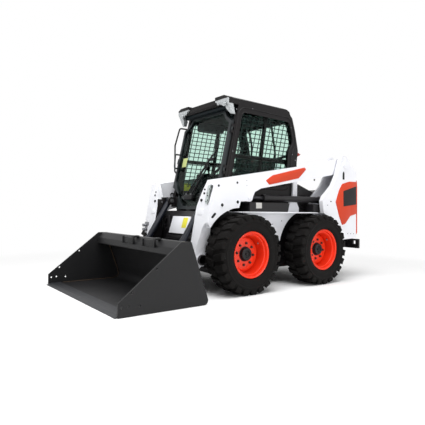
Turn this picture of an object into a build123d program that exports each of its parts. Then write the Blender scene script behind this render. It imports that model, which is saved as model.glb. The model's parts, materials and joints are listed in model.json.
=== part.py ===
"""Skid steer loader with a general purpose bucket, as separate named pieces.

Millimetres. While a piece is drawn, x runs forward from the front axle, y to the machine's left and
z up from the ground. export_pieces moves every piece so that the origin is the bottom centre of the
whole machine.
"""
from build123d import *
from math import hypot
import os

# ---------------------------------------------------------------- driving sizes
WHEELBASE = 1082
REAR_OVERHANG = 800            # rear axle to the back of the bumper
FRONT_REACH = 1436             # front axle to the cutting edge
TYRE_RADIUS = 387
TYRE_WIDTH = 264
RIM_RADIUS = 225
RIM_BARREL_RADIUS = 208
BEAD_INSET = 22
LUG_HEIGHT = 26
LUG_COUNT = 14                 # on each side of the tread
LUG_WIDTH = 56
LUG_SLANT = 15                 # degrees
TYRE_CLEARANCE = 40            # between a tyre and the panels around it

GROUND_CLEARANCE = 185
FRAME_HALF_WIDTH = 440
FRAME_TOP = 800
FRAME_FRONT = 290
FRAME_REAR = -1815
CHAINCASE_THICKNESS = 110
FLOOR_THICKNESS = 12
RUNNING_GAP = 0.3              # between faces of separate pieces that meet
PIN_CLEARANCE = 0.05

CAB_HALF_WIDTH = FRAME_HALF_WIDTH + 10
DOOR_HALF_WIDTH = CAB_HALF_WIDTH - 20
TOWER_INNER = FRAME_HALF_WIDTH + 16
TOWER_INNER_THICKNESS = 20
ARM_INNER = FRAME_HALF_WIDTH + 45
ARM_OUTER = ARM_INNER + 115
TOWER_OUTER = ARM_OUTER + 65
TOWER_OUTER_THICKNESS = 50
TRACK_OUTSIDE = 2 * (TOWER_OUTER + 128)     # over the tyres
LIFT_PIVOT = (-1610, 1375)
LIFT_PIN_RADIUS = 30
ARM_END_RADIUS = 78

LIFT_CYLINDER_REAR = (-1300, 945)
LIFT_CYLINDER_FRONT = (-120, 945)
LIFT_CYLINDER_Y = (ARM_INNER + ARM_OUTER) / 2
LIFT_BARREL_RADIUS = 35
LIFT_ROD_RADIUS = 19
LIFT_EYE_RADIUS = 42
LIFT_BARREL_LENGTH = 950
LIFT_ROD_LENGTH = 900
CYLINDER_PIN_RADIUS = 20

BUCKET_PIVOT = (550, 185)
BUCKET_PIVOT_RADIUS = 45
CROSS_TUBE = (388, 334)
CROSS_TUBE_RADIUS = 50
FOOT_OUTER = ARM_INNER
FOOT_INNER = FOOT_OUTER - 87
CROSS_TUBE_END = FOOT_OUTER + 33

TILT_PIN_TOP = (250, 910)
TILT_PIN_LOW = (593, 370)
TILT_CYLINDER_Y = FOOT_INNER - 60
TILT_BARREL_RADIUS = 31
TILT_ROD_RADIUS = 18
TILT_EYE_RADIUS = 32
TILT_BARREL_LENGTH = 520
TILT_ROD_LENGTH = 480
TILT_EYE_WIDTH = 50
EAR_GAP = 11                   # between an eye and the ears beside it
EAR_THICKNESS = 18

COUPLER_RADIUS = 17            # hydraulic couplers
COUPLER_LENGTH = 50

BUCKET_WIDTH = TRACK_OUTSIDE + 141
BUCKET_HEIGHT = 545
BUCKET_SHEET = 10
BUCKET_SIDE = 16
BUCKET_REAR = 568              # where the floor and the back would meet
BUCKET_TOP_REAR = 764
BUCKET_TOP_FRONT = 866
BUCKET_HEEL_RADIUS = 80
LIP_DROP = 109                 # depth of the formed lip
EDGE_LENGTH = 146
EDGE_THICKNESS = 18

CAB_WALL = 40
CAB_FLOOR_Z = FRAME_TOP + 45
CAB_TOP_Z = 1984
CAB_ROOF_Z = CAB_TOP_Z - 84
CAB_PIVOT = (-950, 1120)
CAB_PIVOT_RADIUS = 14
PILLAR_FOOT_X = 155
PILLAR_SLOPE = 0.231
BACK_WALL = 35
LAMP_INNER = 250
LAMP_FRONT = 64
WINDOW_CORNERS = [30, 80, 60, 40, 40, 30]
DOOR_BOTTOM = FRAME_TOP + 18
DOOR_TOP = CAB_ROOF_Z - 35
DOOR_DEPTH = 42
DOOR_RAIL = 32
HINGE_RADIUS = 9
HINGE_PIN_RADIUS = 4
DOOR_HINGE_Y = DOOR_HALF_WIDTH + HINGE_RADIUS + 1
TAILGATE_REAR = -1850
TAILGATE_HINGE = (TAILGATE_REAR - HINGE_RADIUS - 4, -TOWER_INNER)

# ---------------------------------------------------------------- derived places
REAR_AXLE_X = -WHEELBASE
REAR_END = -WHEELBASE - REAR_OVERHANG
ORIGIN_SHIFT = -(FRONT_REACH + REAR_END) / 2
AXLE_Z = TYRE_RADIUS
WHEEL_Y = (TRACK_OUTSIDE - TYRE_WIDTH) / 2
AXLES = {"front": 0, "rear": REAR_AXLE_X}
SIDES = {"left": 1, "right": -1}
HUB_SEAT_Y = WHEEL_Y - 60


# ---------------------------------------------------------------- ways of making shapes
def side_plate(points, low_y, high_y, radius=0):
    """A closed outline of (x, z) points, thick from low_y to high_y."""
    corners = [(x, high_y, z) for x, z in points]
    wire = FilletPolyline(*corners, radius=radius, close=True) if radius else Polyline(*corners, close=True)
    return extrude(make_face(wire), high_y - low_y, dir=(0, -1, 0))


def front_plate(points, low_x, high_x, radius=0):
    """A closed outline of (y, z) points, thick from low_x to high_x."""
    corners = [(low_x, y, z) for y, z in points]
    wire = FilletPolyline(*corners, radius=radius, close=True) if radius else Polyline(*corners, close=True)
    return extrude(make_face(wire), high_x - low_x, dir=(1, 0, 0))


def block(low, high):
    """A box between two corners."""
    size = [b - a for a, b in zip(low, high)]
    return Pos(*low) * Box(*size, align=(Align.MIN,) * 3)


def cross_rod(place, radius, low_y, high_y):
    """A round bar across the machine, centred on the (x, z) place."""
    x, z = place
    return Pos(x, low_y, z) * Rot(-90, 0, 0) * Cylinder(
        radius, high_y - low_y, align=(Align.CENTER, Align.CENTER, Align.MIN))


def bar(start, end, radius):
    """A round bar between two points."""
    along = Vector(*end) - Vector(*start)
    return Plane(origin=start, z_dir=along) * Cylinder(
        radius, along.length, align=(Align.CENTER, Align.CENTER, Align.MIN))


def tube_path(points, bend, radius):
    """A round tube along a filleted path."""
    path = FilletPolyline(*points, radius=bend)
    section = Plane(origin=path @ 0, z_dir=path % 0) * Circle(radius)
    return sweep(section, path)


def both_sides(solid):
    """The solid and its mirror image on the other side of the machine."""
    return solid + solid.mirror(Plane.XZ)


def on_side(solid, side):
    """The left-hand solid, or its mirror image for the right."""
    return solid if side > 0 else solid.mirror(Plane.XZ)


# ---------------------------------------------------------------- wheels
def tyre(axle_x, side):
    """Carcass turned about the axle, with two rows of slanted lugs."""
    half = TYRE_WIDTH / 2
    tread = TYRE_RADIUS - LUG_HEIGHT
    bead = RIM_BARREL_RADIUS + 0.5
    flange = RIM_RADIUS + 2
    section = Polyline((bead, -half + BEAD_INSET), (flange, -half + BEAD_INSET), (flange + 22, -half),
                       (tread - 45, -half), (tread, -half + 16), (tread, half - 16), (tread - 45, half),
                       (flange + 22, half), (flange, half - BEAD_INSET), (bead, half - BEAD_INSET), close=True)
    carcass = revolve(make_face(section), Axis.Y)
    lug = Rot(0, 0, LUG_SLANT) * block((-LUG_WIDTH / 2, 6, tread - 30), (LUG_WIDTH / 2, half - 1, TYRE_RADIUS + 10))
    pitch = 360 / LUG_COUNT
    lugs = [Rot(0, i * pitch, 0) * lug for i in range(LUG_COUNT)]
    lugs += [Rot(0, (i + 0.5) * pitch, 0) * lug.mirror(Plane.XZ) for i in range(LUG_COUNT)]
    envelope = Rot(-90, 0, 0) * Cylinder(TYRE_RADIUS, TYRE_WIDTH)
    whole = carcass + [one & envelope for one in lugs]
    return Pos(axle_x, side * WHEEL_Y, AXLE_Z) * whole


def rim(axle_x, side):
    """Drop-centre rim with its dished disc and the hub behind it."""
    barrel, skin = RIM_BARREL_RADIUS, 9
    width = TYRE_WIDTH / 2 - BEAD_INSET
    outline = Polyline((0, HUB_SEAT_Y + RUNNING_GAP - WHEEL_Y), (78, HUB_SEAT_Y + RUNNING_GAP - WHEEL_Y), (78, 12),
                       (155, 12), (barrel - skin, -8), (barrel - skin, -width), (barrel - skin, -width - 9),
                       (RIM_RADIUS, -width - 9), (RIM_RADIUS, -width - 1), (barrel, -width - 1),
                       (barrel, width + 1), (RIM_RADIUS, width + 1), (RIM_RADIUS, width + 9),
                       (barrel - skin, width + 9), (barrel - skin, 2), (155, 21), (72, 21), (72, 45), (0, 45),
                       close=True)
    turned = revolve(make_face(outline), Axis.Y)
    return Pos(axle_x, side * WHEEL_Y, AXLE_Z) * (turned if side > 0 else turned.mirror(Plane.XZ))


# ---------------------------------------------------------------- chassis
def main_frame():
    """Welded tub: floor, front wall and the two chaincases, open on top and behind."""
    outer = side_plate([(FRAME_REAR, 330), (-1560, GROUND_CLEARANCE), (235, GROUND_CLEARANCE),
                        (FRAME_FRONT, 240), (FRAME_FRONT, 735), (FRAME_FRONT - 75, FRAME_TOP),
                        (FRAME_REAR, FRAME_TOP)], -FRAME_HALF_WIDTH, FRAME_HALF_WIDTH)
    inner_half = FRAME_HALF_WIDTH - CHAINCASE_THICKNESS
    wall = 20
    floor = GROUND_CLEARANCE + FLOOR_THICKNESS
    hollow = side_plate([(FRAME_REAR - 10, 330 + FLOOR_THICKNESS), (-1556, floor), (230, floor),
                         (FRAME_FRONT - wall, 246), (FRAME_FRONT - wall, 727), (120, 900),
                         (FRAME_REAR - 10, 900)], -inner_half, inner_half)
    mounts = [block((x, inner_half + 10, FRAME_TOP), (x + 70, FRAME_HALF_WIDTH - 10, CAB_FLOOR_Z - RUNNING_GAP))
              for x in (CAB_PIVOT[0] + 50, 20)]
    return (outer - hollow) + both_sides(Part() + mounts)


def fenders():
    """Ledges over the tyres, each with an apron between the wheels."""
    ledge = block((REAR_AXLE_X - 30, FRAME_HALF_WIDTH, FRAME_TOP - 12), (20, TOWER_OUTER, FRAME_TOP))
    apron = block((REAR_AXLE_X + 60, FRAME_HALF_WIDTH, 480), (-60, ARM_INNER + 20, FRAME_TOP - 12))
    for axle_x in AXLES.values():
        apron -= cross_rod((axle_x, AXLE_Z), TYRE_RADIUS + TYRE_CLEARANCE, 400, 700)
    return both_sides(ledge + apron)


def tower_outline():
    """The upright as seen from the side."""
    return [(-1539, 1470), (-1614, 1484), (-1660, 1452), (-1838, 1300), (-1853, 486), (-1440, 470), (-1215, 790),
            (-1190, 930), (-1215, 980), (-1375, 1116), (-1463, 1256)]


def tower(side):
    """Upright of two plates with a web behind, the arm's pivot pin and the cylinder's pin between them."""
    inner = side_plate(tower_outline(), TOWER_INNER, TOWER_INNER + TOWER_INNER_THICKNESS)
    outer = side_plate(tower_outline(), TOWER_OUTER - TOWER_OUTER_THICKNESS, TOWER_OUTER)
    gap_low, gap_high = TOWER_INNER + TOWER_INNER_THICKNESS, TOWER_OUTER - TOWER_OUTER_THICKNESS
    web = side_plate([(-1720, 1400), (-1838, 1300), (-1853, 486), (-1835, 486), (-1820, 1292), (-1712, 1384)],
                     gap_low, gap_high)
    foot = block((-1800, FRAME_HALF_WIDTH, 520), (-1560, TOWER_INNER, FRAME_TOP))
    whole = inner + outer + web + foot
    whole -= cross_rod((REAR_AXLE_X, AXLE_Z), TYRE_RADIUS + TYRE_CLEARANCE, FRAME_HALF_WIDTH, TOWER_OUTER + 1)
    whole += cross_rod(LIFT_PIVOT, LIFT_PIN_RADIUS, gap_low, gap_high)
    whole += cross_rod(LIFT_CYLINDER_REAR, CYLINDER_PIN_RADIUS, gap_low, gap_high)
    whole += cross_rod(LIFT_PIVOT, 44, TOWER_OUTER, TOWER_OUTER + 12)
    whole = on_side(whole, side)
    if side < 0:
        whole += tailgate_knuckles(0) + tailgate_knuckles(2)
    return whole


def tailgate_knuckles(part):
    """One third of each tailgate hinge: 0 and 2 belong to the tower, 1 to the tailgate."""
    x, y = TAILGATE_HINGE
    length, gap = 30, 1
    whole = Part()
    for low in (560, 960):
        start = low + part * (length + gap)
        knuckle = Pos(x, y, start) * Cylinder(HINGE_RADIUS, length, align=(Align.CENTER, Align.CENTER, Align.MIN))
        bore = Pos(x, y, start) * Cylinder(HINGE_PIN_RADIUS + PIN_CLEARANCE, length,
                                           align=(Align.CENTER, Align.CENTER, Align.MIN))
        if part == 1:
            leaf = block((x, y, start), (TAILGATE_REAR + 5, y + 40, start + length))
            whole += (knuckle + leaf) - bore
        else:
            leaf = block((x, y - 16, start), (TAILGATE_REAR + 12, y, start + length))
            whole += (knuckle + leaf) - block((x, y, start - 1), (TAILGATE_REAR + 30, y + 20, start + length + 1))
            if part == 0:
                whole += Pos(x, y, start) * Cylinder(HINGE_PIN_RADIUS, 3 * length + 2 * gap,
                                                     align=(Align.CENTER, Align.CENTER, Align.MIN))
    return whole


def side_boxes():
    """Long covers on the ledges, under the lift cylinders, and the blocks behind them."""
    cover = side_plate([(-124, FRAME_TOP), (-124, 895), (-713, 895), (-689, FRAME_TOP)],
                       FRAME_HALF_WIDTH + 20, ARM_OUTER)
    rest = block((-1276, TOWER_INNER + TOWER_INNER_THICKNESS + RUNNING_GAP, FRAME_TOP), (-1114, ARM_OUTER, 895))
    rest -= cross_rod((REAR_AXLE_X, AXLE_Z), TYRE_RADIUS + TYRE_CLEARANCE, FRAME_HALF_WIDTH, TOWER_OUTER)
    return both_sides(cover + rest)


def axle_housings():
    """Four tubes that carry the hubs."""
    whole = Part()
    for axle_x in AXLES.values():
        tube = cross_rod((axle_x, AXLE_Z), 72, FRAME_HALF_WIDTH, HUB_SEAT_Y)
        flange = cross_rod((axle_x, AXLE_Z), 110, FRAME_HALF_WIDTH, FRAME_HALF_WIDTH + 18)
        whole += both_sides(tube + flange)
    return whole


def engine_block():
    """The engine and pumps as one plain block."""
    floor = GROUND_CLEARANCE + FLOOR_THICKNESS
    half = FRAME_HALF_WIDTH - CHAINCASE_THICKNESS - 30
    return block((-1540, -half, floor), (-1040, half, 980))


def rear_hood():
    """Cover over the engine, louvred, between the cab and the tailgate."""
    top = side_plate([(-1008, 1126), (-1285, 1036), (FRAME_REAR, 1090), (FRAME_REAR, 1062), (-1285, 1008),
                      (-1008, 1098)], -FRAME_HALF_WIDTH, FRAME_HALF_WIDTH)
    louvre_half = FRAME_HALF_WIDTH - 140
    for i in range(9):
        x = -1740 + i * 48
        top -= block((x, -louvre_half, 990), (x + 22, louvre_half, 1130))
    return top


def engine_screens():
    """Side screens of the engine bay, with the plates that carry the cab's pivots."""
    screen = side_plate([(-1008, 1122), (-1290, 1031), (-1290, FRAME_TOP), (-985, FRAME_TOP)],
                        FRAME_HALF_WIDTH, TOWER_INNER)
    for i in range(5):
        screen -= block((-1240, FRAME_HALF_WIDTH - 1, 835 + i * 36), (-1040, TOWER_INNER + 1, 850 + i * 36))
    post = side_plate([(-1000, FRAME_TOP), (-1000, 850), (-968, 900), (-968, CAB_PIVOT[1] + 34),
                       (-900, CAB_PIVOT[1] + 34), (-895, 985), (-840, 890), (-740, 880), (-740, FRAME_TOP)],
                      TOWER_INNER, ARM_INNER - 7)
    pin = cross_rod(CAB_PIVOT, CAB_PIVOT_RADIUS, CAB_HALF_WIDTH - 20, TOWER_INNER)
    return both_sides(screen + post + pin)


def rear_bumper():
    """Bar across the back with a tie-down hole near each end."""
    half = TOWER_OUTER + 35
    whole = block((REAR_END, -half, 360), (REAR_END + 32, half, 475))
    for side in SIDES.values():
        hole = half - 62
        whole -= block((REAR_END - 5, side * hole - 19, 412), (REAR_END + 40, side * hole + 19, 452))
        whole += block((REAR_END + 32, side * 400 - 40, 380), (FRAME_REAR, side * 400 + 40, 465))
    return whole


def tail_lamps():
    """Upright strips on the backs of the towers."""
    (high_x, high_z), (low_x, low_z) = tower_outline()[3:5]

    def back(z):
        return low_x + (z - low_z) * (high_x - low_x) / (high_z - low_z) - RUNNING_GAP
    depth, low, high = 26, 524, 1212
    strip = side_plate([(back(low), low), (back(high), high), (back(high) - depth + 8, high - 20),
                        (back(high - 90) - depth, high - 90), (back(low) - depth, low + 30)],
                       ARM_OUTER - 5, TOWER_OUTER)
    return both_sides(strip)


# ---------------------------------------------------------------- tailgate
def tailgate():
    """Rear door with a louvred radiator grille and its hinge knuckles."""
    half = TOWER_INNER - RUNNING_GAP
    panel = block((TAILGATE_REAR, -half, 490), (TAILGATE_REAR + 28, half, 1098))
    louvre_half = half - 126
    for i in range(8):
        low = 640 + i * 46
        panel -= block((TAILGATE_REAR - 10, -louvre_half, low), (TAILGATE_REAR + 40, louvre_half, low + 24))
    return panel + tailgate_knuckles(1)


# ---------------------------------------------------------------- cab
def pillar_line(z):
    """How far forward the cab's front pillars stand at height z."""
    return PILLAR_FOOT_X - PILLAR_SLOPE * (z - CAB_FLOOR_Z)


def back_line(depth=0):
    """The line of the cab's back from the roof down, moved forward by depth."""
    return [(-869 + depth, CAB_ROOF_Z), (-900 + depth, CAB_ROOF_Z - 27), (-946 + depth, CAB_ROOF_Z - 159),
            (-1003 + depth, CAB_ROOF_Z - 390), (-985 + depth, CAB_ROOF_Z - 519), (-975 + depth, CAB_FLOOR_Z)]


def cab_side(side):
    """One wall of the cab with its window cut; the left one carries the door's hinges."""
    wall = side_plate([(pillar_line(CAB_FLOOR_Z), CAB_FLOOR_Z), (pillar_line(CAB_ROOF_Z), CAB_ROOF_Z)] + back_line(),
                      CAB_HALF_WIDTH - CAB_WALL, CAB_HALF_WIDTH)
    wall -= side_plate(window_outline(), CAB_HALF_WIDTH - CAB_WALL - 1, CAB_HALF_WIDTH + 1, radius=WINDOW_CORNERS)
    wall -= cross_rod(CAB_PIVOT, CAB_PIVOT_RADIUS + PIN_CLEARANCE, CAB_HALF_WIDTH - CAB_WALL - 1, CAB_HALF_WIDTH + 1)
    wall = on_side(wall, side)
    if side > 0:
        wall += door_knuckles(0) + door_knuckles(2)
    return wall


def window_outline():
    """Side window opening."""
    return [(15, 1090), (-135, CAB_ROOF_Z - 62), (-855, CAB_ROOF_Z - 72), (-920, CAB_ROOF_Z - 300),
            (-842, CAB_ROOF_Z - 410), (-825, 1090)]


def back_layer(near, far, half):
    """A layer of the cab's back wall between two depths."""
    return side_plate(back_line(near) + back_line(far)[::-1], -half, half)


def back_window():
    """Rear window opening."""
    half = CAB_HALF_WIDTH - 95
    return front_plate([(-half, 1240), (half, 1240), (half, CAB_ROOF_Z - 75), (-half, CAB_ROOF_Z - 75)], -1100, -800,
                       radius=50)


def cab_windows():
    """Glass in both sides and in the back."""
    middle = CAB_HALF_WIDTH - CAB_WALL / 2
    sides = both_sides(side_plate(window_outline(), middle - 6, middle, radius=WINDOW_CORNERS))
    return sides + (back_layer(14, 20, CAB_HALF_WIDTH - 50) & back_window())


def cab_back():
    """Rear wall with its window cut."""
    return back_layer(0, BACK_WALL, CAB_HALF_WIDTH - CAB_WALL) - back_window()


def cab_roof():
    """Roof pan with its visor and the hoods over the front lamps."""
    across = [(-CAB_HALF_WIDTH, CAB_ROOF_Z), (CAB_HALF_WIDTH, CAB_ROOF_Z), (CAB_HALF_WIDTH, CAB_ROOF_Z + 58),
              (CAB_HALF_WIDTH - 50, CAB_TOP_Z), (-CAB_HALF_WIDTH + 50, CAB_TOP_Z),
              (-CAB_HALF_WIDTH, CAB_ROOF_Z + 58)]
    along = [(15, CAB_ROOF_Z), (45, CAB_ROOF_Z + 20), (45, CAB_TOP_Z - 18), (5, CAB_TOP_Z - 2),
             (-780, CAB_TOP_Z - 16), (-850, CAB_TOP_Z - 44), (-869, CAB_ROOF_Z)]
    lamp = [(LAMP_INNER, CAB_ROOF_Z + 50), (LAMP_INNER, CAB_TOP_Z), (CAB_HALF_WIDTH - 50, CAB_TOP_Z),
            (CAB_HALF_WIDTH, CAB_ROOF_Z + 62), (CAB_HALF_WIDTH, CAB_ROOF_Z + 50)]
    pan = front_plate(across, -950, 100) & side_plate(along, -CAB_HALF_WIDTH, CAB_HALF_WIDTH)
    return pan + both_sides(front_plate(lamp, -20, LAMP_FRONT + 4))


def cab_floor():
    """Floor pan and the fixed sill beside and behind the foot of the door."""
    half = CAB_HALF_WIDTH - CAB_WALL
    top = CAB_FLOOR_Z + 111
    pan = block((-940, -half, CAB_FLOOR_Z), (100, half, CAB_FLOOR_Z + 15))
    sill = side_plate([(pillar_line(CAB_FLOOR_Z) + 18, CAB_FLOOR_Z), (pillar_line(top) + 18, top),
                       (pillar_line(top) - 22, top), (95, CAB_FLOOR_Z)], -half, half)
    return pan + (sill - (door_slab(-6, 60) & door_face(6)))


def cab_lamps():
    """Work lamps that wrap the front corners of the roof."""
    top, tip = CAB_ROOF_Z + 50 - RUNNING_GAP, CAB_ROOF_Z - 105
    front = front_plate([(LAMP_INNER, top), (LAMP_INNER, top - 15), (CAB_HALF_WIDTH - 90, CAB_ROOF_Z - 14),
                         (CAB_HALF_WIDTH - 20, tip + 5), (CAB_HALF_WIDTH + 5, tip), (CAB_HALF_WIDTH + 5, top)],
                        45 + RUNNING_GAP, LAMP_FRONT)
    corner = side_plate([(45 + RUNNING_GAP, top), (LAMP_FRONT, top), (LAMP_FRONT - 30, CAB_ROOF_Z - 40), (0, tip),
                         (-40, tip), (-10, CAB_ROOF_Z - RUNNING_GAP), (45 + RUNNING_GAP, CAB_ROOF_Z - RUNNING_GAP)],
                        CAB_HALF_WIDTH - 60, CAB_HALF_WIDTH + 5)
    envelope = front_plate([(LAMP_INNER, top), (LAMP_INNER, top - 15), (CAB_HALF_WIDTH - 90, CAB_ROOF_Z - 14),
                            (CAB_HALF_WIDTH - 20, tip + 5), (CAB_HALF_WIDTH + 5, tip), (CAB_HALF_WIDTH + 5, top)],
                           -60, 100)
    slope = side_plate([(-60, top), (LAMP_FRONT, top), (LAMP_FRONT, CAB_ROOF_Z + 20), (0, tip), (-60, tip)],
                       0, CAB_HALF_WIDTH + 10)
    return both_sides((front + corner) & envelope & slope)


def seat():
    """Seat cushion, backrest and base."""
    head = CAB_ROOF_Z - 200
    cushion = side_plate([(-330, 1130), (-330, 1050), (-760, 1020), (-760, 1100)], -240, 240)
    back = side_plate([(-690, 1105), (-760, 1100), (-870, head - 100), (-860, head), (-800, head),
                       (-780, head - 100)], -230, 230)
    base = block((-760, -260, CAB_FLOOR_Z + 15), (-380, 260, 1021))
    return cushion + back + base


def seat_bar():
    """Bar that comes down over the lap."""
    radius, z, half = 16, CAB_ROOF_Z - 450, CAB_HALF_WIDTH - CAB_WALL - 32
    (high_x, high_z), (low_x, low_z) = back_line(BACK_WALL)[3:5]
    lean = (high_x - low_x) / (high_z - low_z)
    seat_x = low_x + lean * (z - low_z) - lean * radius + RUNNING_GAP
    arm = [(seat_x, half, z), (-900, half, z), (-500, half, z - 120), (-380, half, z - 220)]
    return tube_path(arm + [(x, -y, z) for x, y, z in arm[::-1]], 40, radius)


def levers():
    """Two steering levers on their consoles."""
    console = block((-640, 300, CAB_FLOOR_Z + 15), (-330, 400, 1150))
    stick = bar((-345, 350, 1150), (-305, 350, 1300), 10) + Pos(-300, 350, 1320) * Sphere(26)
    return both_sides(console + stick)


def grab_loop():
    """Tube loop ahead of the right-hand pillar."""
    radius, y = 9, -CAB_HALF_WIDTH + 4
    seat_gap = radius * PILLAR_SLOPE + RUNNING_GAP
    high, low, front = CAB_ROOF_Z - 132, 1240, 112
    return tube_path([(pillar_line(high) + seat_gap, y, high), (front - 64, y, high), (front, y, high - 210),
                      (front, y, low), (pillar_line(low) + seat_gap, y, low)], 30, radius)


# ---------------------------------------------------------------- cab door
def door_outline():
    """The door as seen from ahead. Its foot reaches down between the tilt cylinders' ears."""
    half, high, ears = DOOR_HALF_WIDTH, DOOR_TOP, TILT_PIN_TOP[1] + 52
    foot = tilt_ears()[0][0] - 22
    return [(-half, ears + 110), (-foot - 14, ears + 20), (-foot, DOOR_BOTTOM), (foot - 94, DOOR_BOTTOM),
            (foot - 94, ears), (foot - 39, ears + 13), (half, ears + 123), (half, high - 130), (half - 90, high - 75),
            (half - 145, high), (-half + 145, high), (-half + 90, high - 75), (-half, high - 130)]


def door_face(grow):
    """The door's outline, grown all round, as a solid that reaches through the door."""
    face = offset(make_face(Polyline(*[(-200, y, z) for y, z in door_outline()], close=True)), grow,
                  kind=Kind.INTERSECTION)
    return extrude(face, 500, dir=(1, 0, 0))


def door_slab(near, far):
    """A layer that follows the pillars, from near to far ahead of them."""
    low, high = DOOR_BOTTOM - 50, DOOR_TOP + 50
    return side_plate([(pillar_line(low) + near, low), (pillar_line(low) + far, low),
                       (pillar_line(high) + far, high), (pillar_line(high) + near, high)], -500, 500)


def door_window():
    """The opening in the door frame."""
    half, high, ears = DOOR_HALF_WIDTH - DOOR_RAIL, DOOR_TOP - DOOR_RAIL, TILT_PIN_TOP[1] + 52
    low = DOOR_BOTTOM + DOOR_RAIL
    foot = tilt_ears()[0][0] - 22
    return front_plate([(-half, ears + 178), (-foot - 43, ears + 48), (-foot + 40, ears - 62), (-foot + 122, low),
                        (foot - 132, low), (foot - 128, ears + 34), (foot - 48, ears + 46), (half, ears + 142),
                        (half, high - 116), (half - 76, high - 69), (half - 128, high), (-half + 128, high),
                        (-half + 76, high - 69), (-half, high - 116)], -200, 300, radius=14)


def door_frame():
    """Door frame round its glass, with its hinge knuckles and its handle."""
    return (door_slab(RUNNING_GAP, DOOR_DEPTH) & door_face(0)) - door_window() + door_knuckles(1) + door_handle()


def door_knuckles(part):
    """One third of each door hinge: 0 and 2 belong to the pillar, 1 to the door."""
    length, gap, middle = 30, 1, DOOR_DEPTH / 2
    whole = Part()
    for low in (1180, DOOR_TOP - 260):
        axis = Plane(origin=(pillar_line(low) + middle, DOOR_HINGE_Y, low), x_dir=(1, 0, PILLAR_SLOPE),
                     z_dir=(-PILLAR_SLOPE, 0, 1))
        lift = Pos(0, 0, part * (length + gap))
        low_corner = (Align.CENTER, Align.CENTER, Align.MIN)
        knuckle = lift * Cylinder(HINGE_RADIUS, length, align=low_corner)
        if part == 1:
            leaf = Box(12, 12, length, align=(Align.CENTER, Align.MIN, Align.MIN))
            knuckle += lift * Pos(0, -HINGE_RADIUS - 6, 0) * leaf
            knuckle -= lift * Cylinder(HINGE_PIN_RADIUS + PIN_CLEARANCE, length, align=low_corner)
        else:
            knuckle += lift * Pos(-middle - 3, -HINGE_RADIUS + 1, 0) * Box(middle + 3, 2 * HINGE_RADIUS - 2, length,
                                                                        align=(Align.MIN,) * 3)
            if part == 0:
                knuckle += Cylinder(HINGE_PIN_RADIUS, 3 * length + 2 * gap, align=low_corner)
        whole += axis * knuckle
    return whole


def door_glass():
    """Door glass, inside its frame."""
    return door_slab(20, 28) & door_window()


def door_handle():
    """Handle and latch on the door's right-hand edge."""
    y, low, high = -DOOR_HALF_WIDTH + 24, 1290, 1450
    def face(z):
        return pillar_line(z) + DOOR_DEPTH - 4
    grip = tube_path([(face(low), y, low), (face(low) + 52, y, low), (face(high) + 78, y, high), (face(high), y, high)],
                     18, 9)
    latch = block((-200, y - 14, low + 50), (300, y + 30, low + 110))
    return grip + (door_slab(DOOR_DEPTH - 2, DOOR_DEPTH + 16) & latch)


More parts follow.
